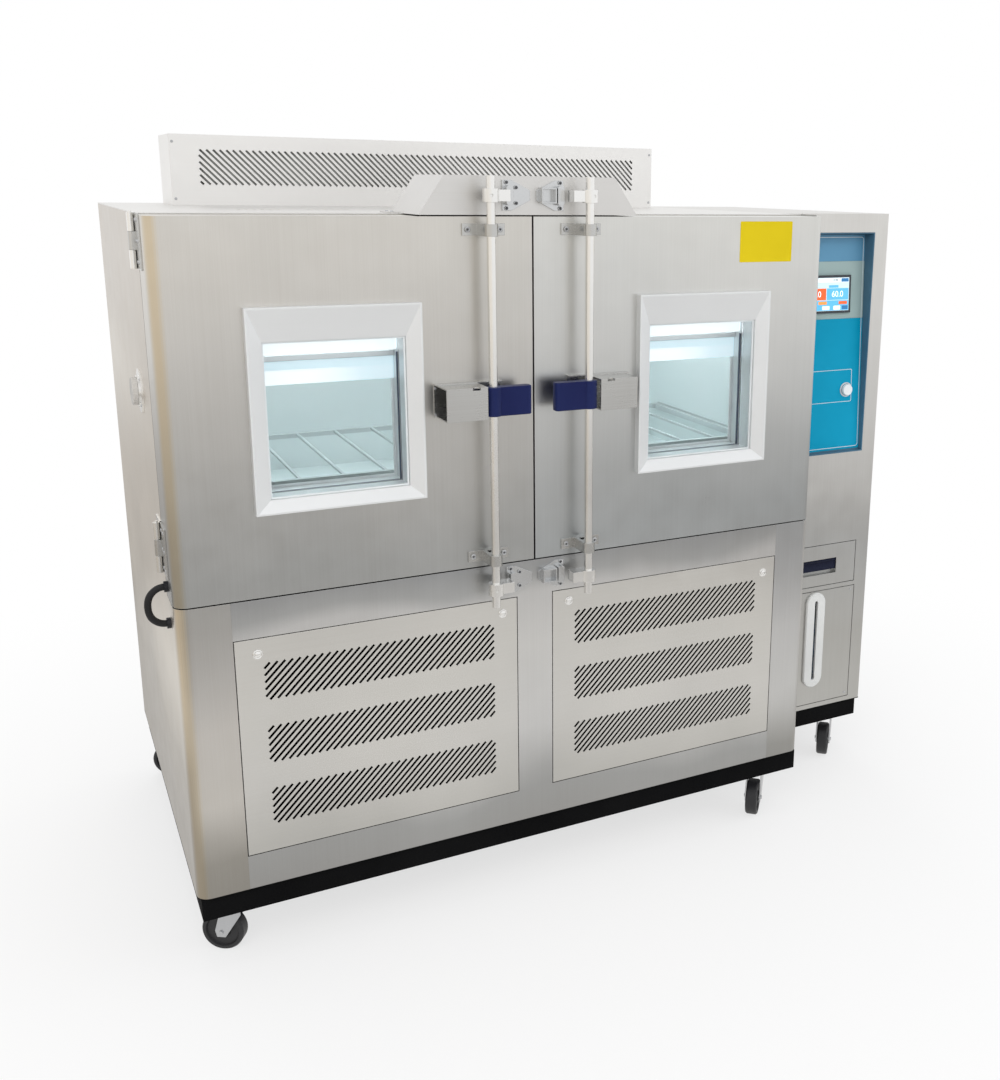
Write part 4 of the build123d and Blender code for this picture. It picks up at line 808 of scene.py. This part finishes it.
# Screws by (radius, height) of the head, on the gauge's panel, the rear housing and the foot of
# the lock housing
SMALL_SCREW, COVER_SCREW, HINGE_SCREW, FOOT_SCREW = (3.2, 1.6), (3.6, 1.8), (4.0, 1.8), (4.0, 2.2)
GAUGE_SCREW_SIDE, GAUGE_SCREW_EDGE = 132, 14
HOUSING_SCREW_EDGE, HOUSING_SCREW_ZS = 8, (TOP + 16, TOP + 160)
FOOT_SCREW_SIDE, FOOT_SCREW_YS, FOOT_SHEET = 279, (150, 190), 3
bm = bmesh.new()
for x in (COL_C - GAUGE_SCREW_SIDE, COL_C + GAUGE_SCREW_SIDE):
    for z in (GAUGE_PANEL_Z1 - GAUGE_SCREW_EDGE, GAUGE_PANEL_Z0 + GAUGE_SCREW_EDGE):
        add_screw(bm, facing_front(x, COL_Y, z), *COVER_SCREW)
for x in (HOUSING_X0 + HOUSING_SCREW_EDGE, HOUSING_X1 - HOUSING_SCREW_EDGE):
    for z in HOUSING_SCREW_ZS:
        add_screw(bm, facing_front(x, HOUSING_Y, z), *COVER_SCREW)
for sign in (-1, 1):
    for y in FOOT_SCREW_YS:
        place = facing_up(MIDDLE + sign * FOOT_SCREW_SIDE, y, TOP + FOOT_SHEET)
        add_screw(bm, place, *FOOT_SCREW)
piece("cover_screws", bm, zinc, "cabinet", True)


# Screws of the hinges, by their distance from the pins and from the leaf's middle
DOOR_LEAF_YS, FIXED_LEAF_YS, LEAF_ZS = (-17, -45), (18, 46), (-42, 0, 42)


def add_leaf_screws(bm, sign, leaf_ys):
    """The screws of one leaf of both hinges of a door."""
    x = WIDTH + HINGE_LEAF if sign > 0 else -HINGE_LEAF
    for hinge_z in (DOOR_TOP - HINGE_FROM_TOP, DOOR_BOTTOM + HINGE_FROM_BOTTOM):
        for dz in LEAF_ZS:
            for dy in leaf_ys:
                place = facing_side(x, HINGE_Y + dy, hinge_z + dz, sign)
                add_screw(bm, place, *HINGE_SCREW)


# Screws of the plate beside each lever, with those of the door's hinge leaves
LEVER_PLATE, LEVER_SCREW_SIDES, LEVER_SCREW_RISE = 3, (239, 160), 30
for side, sign in (("left", -1), ("right", 1)):
    bm = bmesh.new()
    for from_middle in LEVER_SCREW_SIDES:
        for z in (LEVER_Z - LEVER_SCREW_RISE, LEVER_Z + LEVER_SCREW_RISE):
            place = facing_front(MIDDLE + sign * from_middle, -LEVER_PLATE, z)
            add_screw(bm, place, *SMALL_SCREW)
    add_leaf_screws(bm, sign, DOOR_LEAF_YS)
    piece(f"door_screws_{side}", bm, zinc, f"door_{side}", True)

# Screws of the fixed hinge leaves and of the cable port's flange
PORT_SCREW = 28.9
bm = bmesh.new()
add_leaf_screws(bm, -1, FIXED_LEAF_YS)
for dy, dz in ((-1, -1), (1, -1), (-1, 1), (1, 1)):
    place = facing_side(-PORT_FLANGE, PORT_Y + dy * PORT_SCREW, PORT_Z + dz * PORT_SCREW, -1)
    add_screw(bm, place, *SMALL_SCREW)
add_leaf_screws(bm, 1, FIXED_LEAF_YS)
piece("hinge_screws", bm, zinc, "cabinet", True)


def add_socket(dark, rim, place, radius, share):
    """The socket of a bolt's head, a thin dark disc of painted shade for its recess, with the worn
    rim round it.
    """
    inner = radius * share
    add_lathe(dark, [(0, 0.1), (inner, 0.1), (inner, 0.5), (0, 0.5)], place, 18)
    add_lathe(rim, [(inner, 0), (inner + 0.2, 0.7), (radius * 0.95, 0.6), (radius, 0)], place, 22)


# Bolts of the keepers, by their distance from the middle and from the cam's height: two at the
# wide edge, and two more inwards on the left keepers
BOLT_FACE_Y = -7
KEEPER_BOLTS = ((-65, 28), (-42, 17), (65, 28))
KEEPER_ZS = (DOOR_BOTTOM - CAM_BEYOND_DOOR, TOP + CAM_BEYOND_DOOR)
dark, rim = bmesh.new(), bmesh.new()
for z in KEEPER_ZS:
    for from_middle, off in KEEPER_BOLTS:
        for way in (-1, 1):
            add_socket(dark, rim, facing_front(MIDDLE + from_middle, BOLT_FACE_Y, z + way * off),
                       4.4, 0.72)
# Painted shade: dark discs for the shaded recesses of the keeper bolts
piece("bolt_socket_shade", dark, socket_shade_grey, "cabinet", True)
piece("bolt_rims", rim, zinc, "cabinet", True)

# Bolts of the rod guides
GUIDE_BOLT_SIDE = 38
for side, sign in (("left", -1), ("right", 1)):
    dark, rim = bmesh.new(), bmesh.new()
    x = MIDDLE + sign * ROD_FROM_MIDDLE
    for z in (DOOR_BOTTOM + GUIDE_FROM_EDGE, DOOR_TOP - GUIDE_FROM_EDGE):
        for way in (-1, 1):
            add_socket(dark, rim, facing_front(x + way * GUIDE_BOLT_SIDE, BOLT_FACE_Y, z), 6.4,
                       0.36)
    # Painted shade: dark discs for the shaded recesses of the guide bolts
    piece(f"guide_socket_shade_{side}", dark, socket_shade_grey, f"door_{side}", True)
    piece(f"guide_rims_{side}", rim, zinc, f"door_{side}", True)

# Dust filter mat behind the slots of the rear housing, and two behind the rear louvres
FILTER_X, FILTER_Y, FILTER_Z = (215, 1525), (846, 856), (TOP + 38, TOP + 152)
EXHAUST_XS, EXHAUST_HALF_W = (457.5, 1176.5), 216
EXHAUST_Y, EXHAUST_Z = (1082, 1092), (380, 612)
bm = bmesh.new()
add_box(bm, *FILTER_X, *FILTER_Y, *FILTER_Z, 3)
piece("filter_mat", bm, filter_grey, "cabinet")
bm = bmesh.new()
for x in EXHAUST_XS:
    add_box(bm, x - EXHAUST_HALF_W, x + EXHAUST_HALF_W, *EXHAUST_Y, *EXHAUST_Z, 3)
piece("exhaust_mats", bm, filter_grey, "cabinet")

# Steel face of the opening, which the door seals press on
FACE_EDGES = (SHEET_INSIDE, WIDTH - SHEET_INSIDE, 877.2, 1687.3)
OPENING_EDGES = (98.6, 1535.4, 978.6, 1591.4)
OPENING_Y = 115.97
bm = bmesh.new()
add_ring(bm, round_rect(*FACE_EDGES, 0.5), round_rect(*OPENING_EDGES, 0.5),
         facing_front(0, OPENING_Y, 0), 0, 0.22)
piece("opening_face", bm, body_steel_plain, "cabinet")


# Sills that close the corners of the lower frame under the doors
SILL_RADIUS, SILL_BACK, SILL_Z = 27.0, 115.6, (875.9, 876.9)


def sill_outline(outer, inner):
    """A sill's plan: a rounded front corner at its outer end, square at its inner end."""
    way = 1 if inner > outer else -1
    bend = []
    for i in range(9):
        t = math.pi / 2 * i / 8
        bend.append((outer + way * SILL_RADIUS * (1 - math.cos(t)),
                     SHEET_INSIDE + SILL_RADIUS * (1 - math.sin(t))))
    return bend + [(inner, SHEET_INSIDE), (inner, SILL_BACK), (outer, SILL_BACK)]


for side, outer, inner in (("left", SHEET_INSIDE, 111.8), ("right", WIDTH - SHEET_INSIDE, 1522.2)):
    bm = bmesh.new()
    add_plate(bm, sill_outline(outer, inner), facing_up(0, 0, 0), *SILL_Z)
    bmesh.ops.recalc_face_normals(bm, faces=bm.faces[:])
    piece(f"corner_sill_{side}", bm, body_steel_plain, "cabinet")

# Floor: white where it is seen, with the object's shadow, and with painted reflection tones that
# only metal sees
floor_mesh = bpy.data.meshes.new("floor")
bm = bmesh.new()
bmesh.ops.create_grid(bm, x_segments=1, y_segments=1, size=60)
bm.to_mesh(floor_mesh)
bm.free()
floor = bpy.data.objects.new("floor", floor_mesh)
scene.collection.objects.link(floor)
floor_mat = bpy.data.materials.new("floor")
floor_mat.use_nodes = True
ground = Nodes(floor_mat.node_tree)
ground.tree.nodes.clear()
place = ground.node("ShaderNodeNewGeometry").outputs["Position"]
length = ground.node("ShaderNodeVectorMath", operation="LENGTH")
ground.link(place, length.inputs[0])
distance = length.outputs["Value"]
diffuse = ground.shader("ShaderNodeBsdfDiffuse", (0.86, 0.85, 0.84))
white = ground.shader("ShaderNodeEmission", (1.0, 1.0, 1.0))
seen = ground.cross(ground.span(distance, 0.70, 1.0, 0.9, 2.6, smooth=True), diffuse, white)
# Painted reflection: metal sees it bright near the object and far away, duller between, and warmer
# at the left
painted_reflection_tone = ground.ramp(ground.span(distance, 0.0, 1.0, 0.0, 20.0), [
    (0.0, (0.90, 0.89, 0.87)), (0.11, (0.86, 0.85, 0.83)), (0.15, (0.46, 0.44, 0.42)),
    (0.26, (0.50, 0.48, 0.46)), (0.5, (0.92, 0.92, 0.91)), (1.0, (1.0, 1.0, 1.0))])
spot = ground.split(place)
leftward = ground.span(spot["X"], 1.0, 0.0, -3.4, -2.2, smooth=True)
forward = ground.span(spot["Y"], 1.0, 0.0, 1.0, 2.6, smooth=True)
painted_reflection_tone = ground.mix(ground.math("MULTIPLY", leftward, forward), painted_reflection_tone, (0.99, 0.93, 0.84), "MULTIPLY")
surface = ground.by_ray(diffuse, ground.shader("ShaderNodeEmission", painted_reflection_tone), seen)
ground.link(surface, ground.node("ShaderNodeOutputMaterial").inputs["Surface"])
floor_mesh.materials.append(floor_mat)

# World: an even soft light, white where it is seen; metal sees a painted reflection at the left,
# duller and warm
world = bpy.data.worlds.new("world")
scene.world = world
world.use_nodes = True
room = Nodes(world.node_tree)
room.tree.nodes.clear()
soft = room.shader("ShaderNodeBackground", (0.93, 0.96, 1.0), 0.55)
bright = room.shader("ShaderNodeBackground", (1.0, 1.0, 1.0), 1.0)
way = room.split(room.node("ShaderNodeTexCoord").outputs["Generated"])
painted_warm_reflection = room.mix(room.span(way["X"], 0.0, 1.0, -0.95, -0.45, smooth=True),
                (0.90, 0.87, 0.83), (1.0, 1.0, 1.0))
surface = room.by_ray(soft, room.shader("ShaderNodeBackground", painted_warm_reflection, 1.0), bright)
room.link(surface, room.node("ShaderNodeOutputWorld").inputs["Surface"])


def area(name, place, target, size, power, color=(1, 1, 1)):
    """A rectangular lamp that looks at a point."""
    data = bpy.data.lights.new(name, "AREA")
    data.shape = "RECTANGLE"
    data.size, data.size_y = size
    data.energy = power
    data.color = color
    o = bpy.data.objects.new(name, data)
    scene.collection.objects.link(o)
    o.location = place
    o.rotation_mode = "QUATERNION"
    o.rotation_quaternion = (Vector(target) - Vector(place)).to_track_quat("-Z", "Y")
    return o


for lamp in (("key", (-2.6, -3.8, 3.8), (0, 0, 0.9), (4.4, 3.2), 108, (1.0, 0.98, 0.95)),
             ("fill", (3.8, -3.0, 2.6), (0.3, 0, 0.9), (4.0, 3.2), 62, (0.95, 0.98, 1.0)),
             ("over", (0.0, 0.2, 4.2), (0, 0, 1.0), (3.2, 2.4), 58),
             ("back", (0.6, 3.8, 2.8), (0, 0, 1.0), (3.4, 2.6), 50)):
    area(*lamp).visible_glossy = False
# Lamps of the test space, under its ceiling
for x, power in ((420, 2.7), (1214, 3.5)):
    area(f"test_space_{x}", P(x, 420, 1572), P(x, 470, 1000), (0.5, 0.35), power, (0.97, 0.99, 1.0))
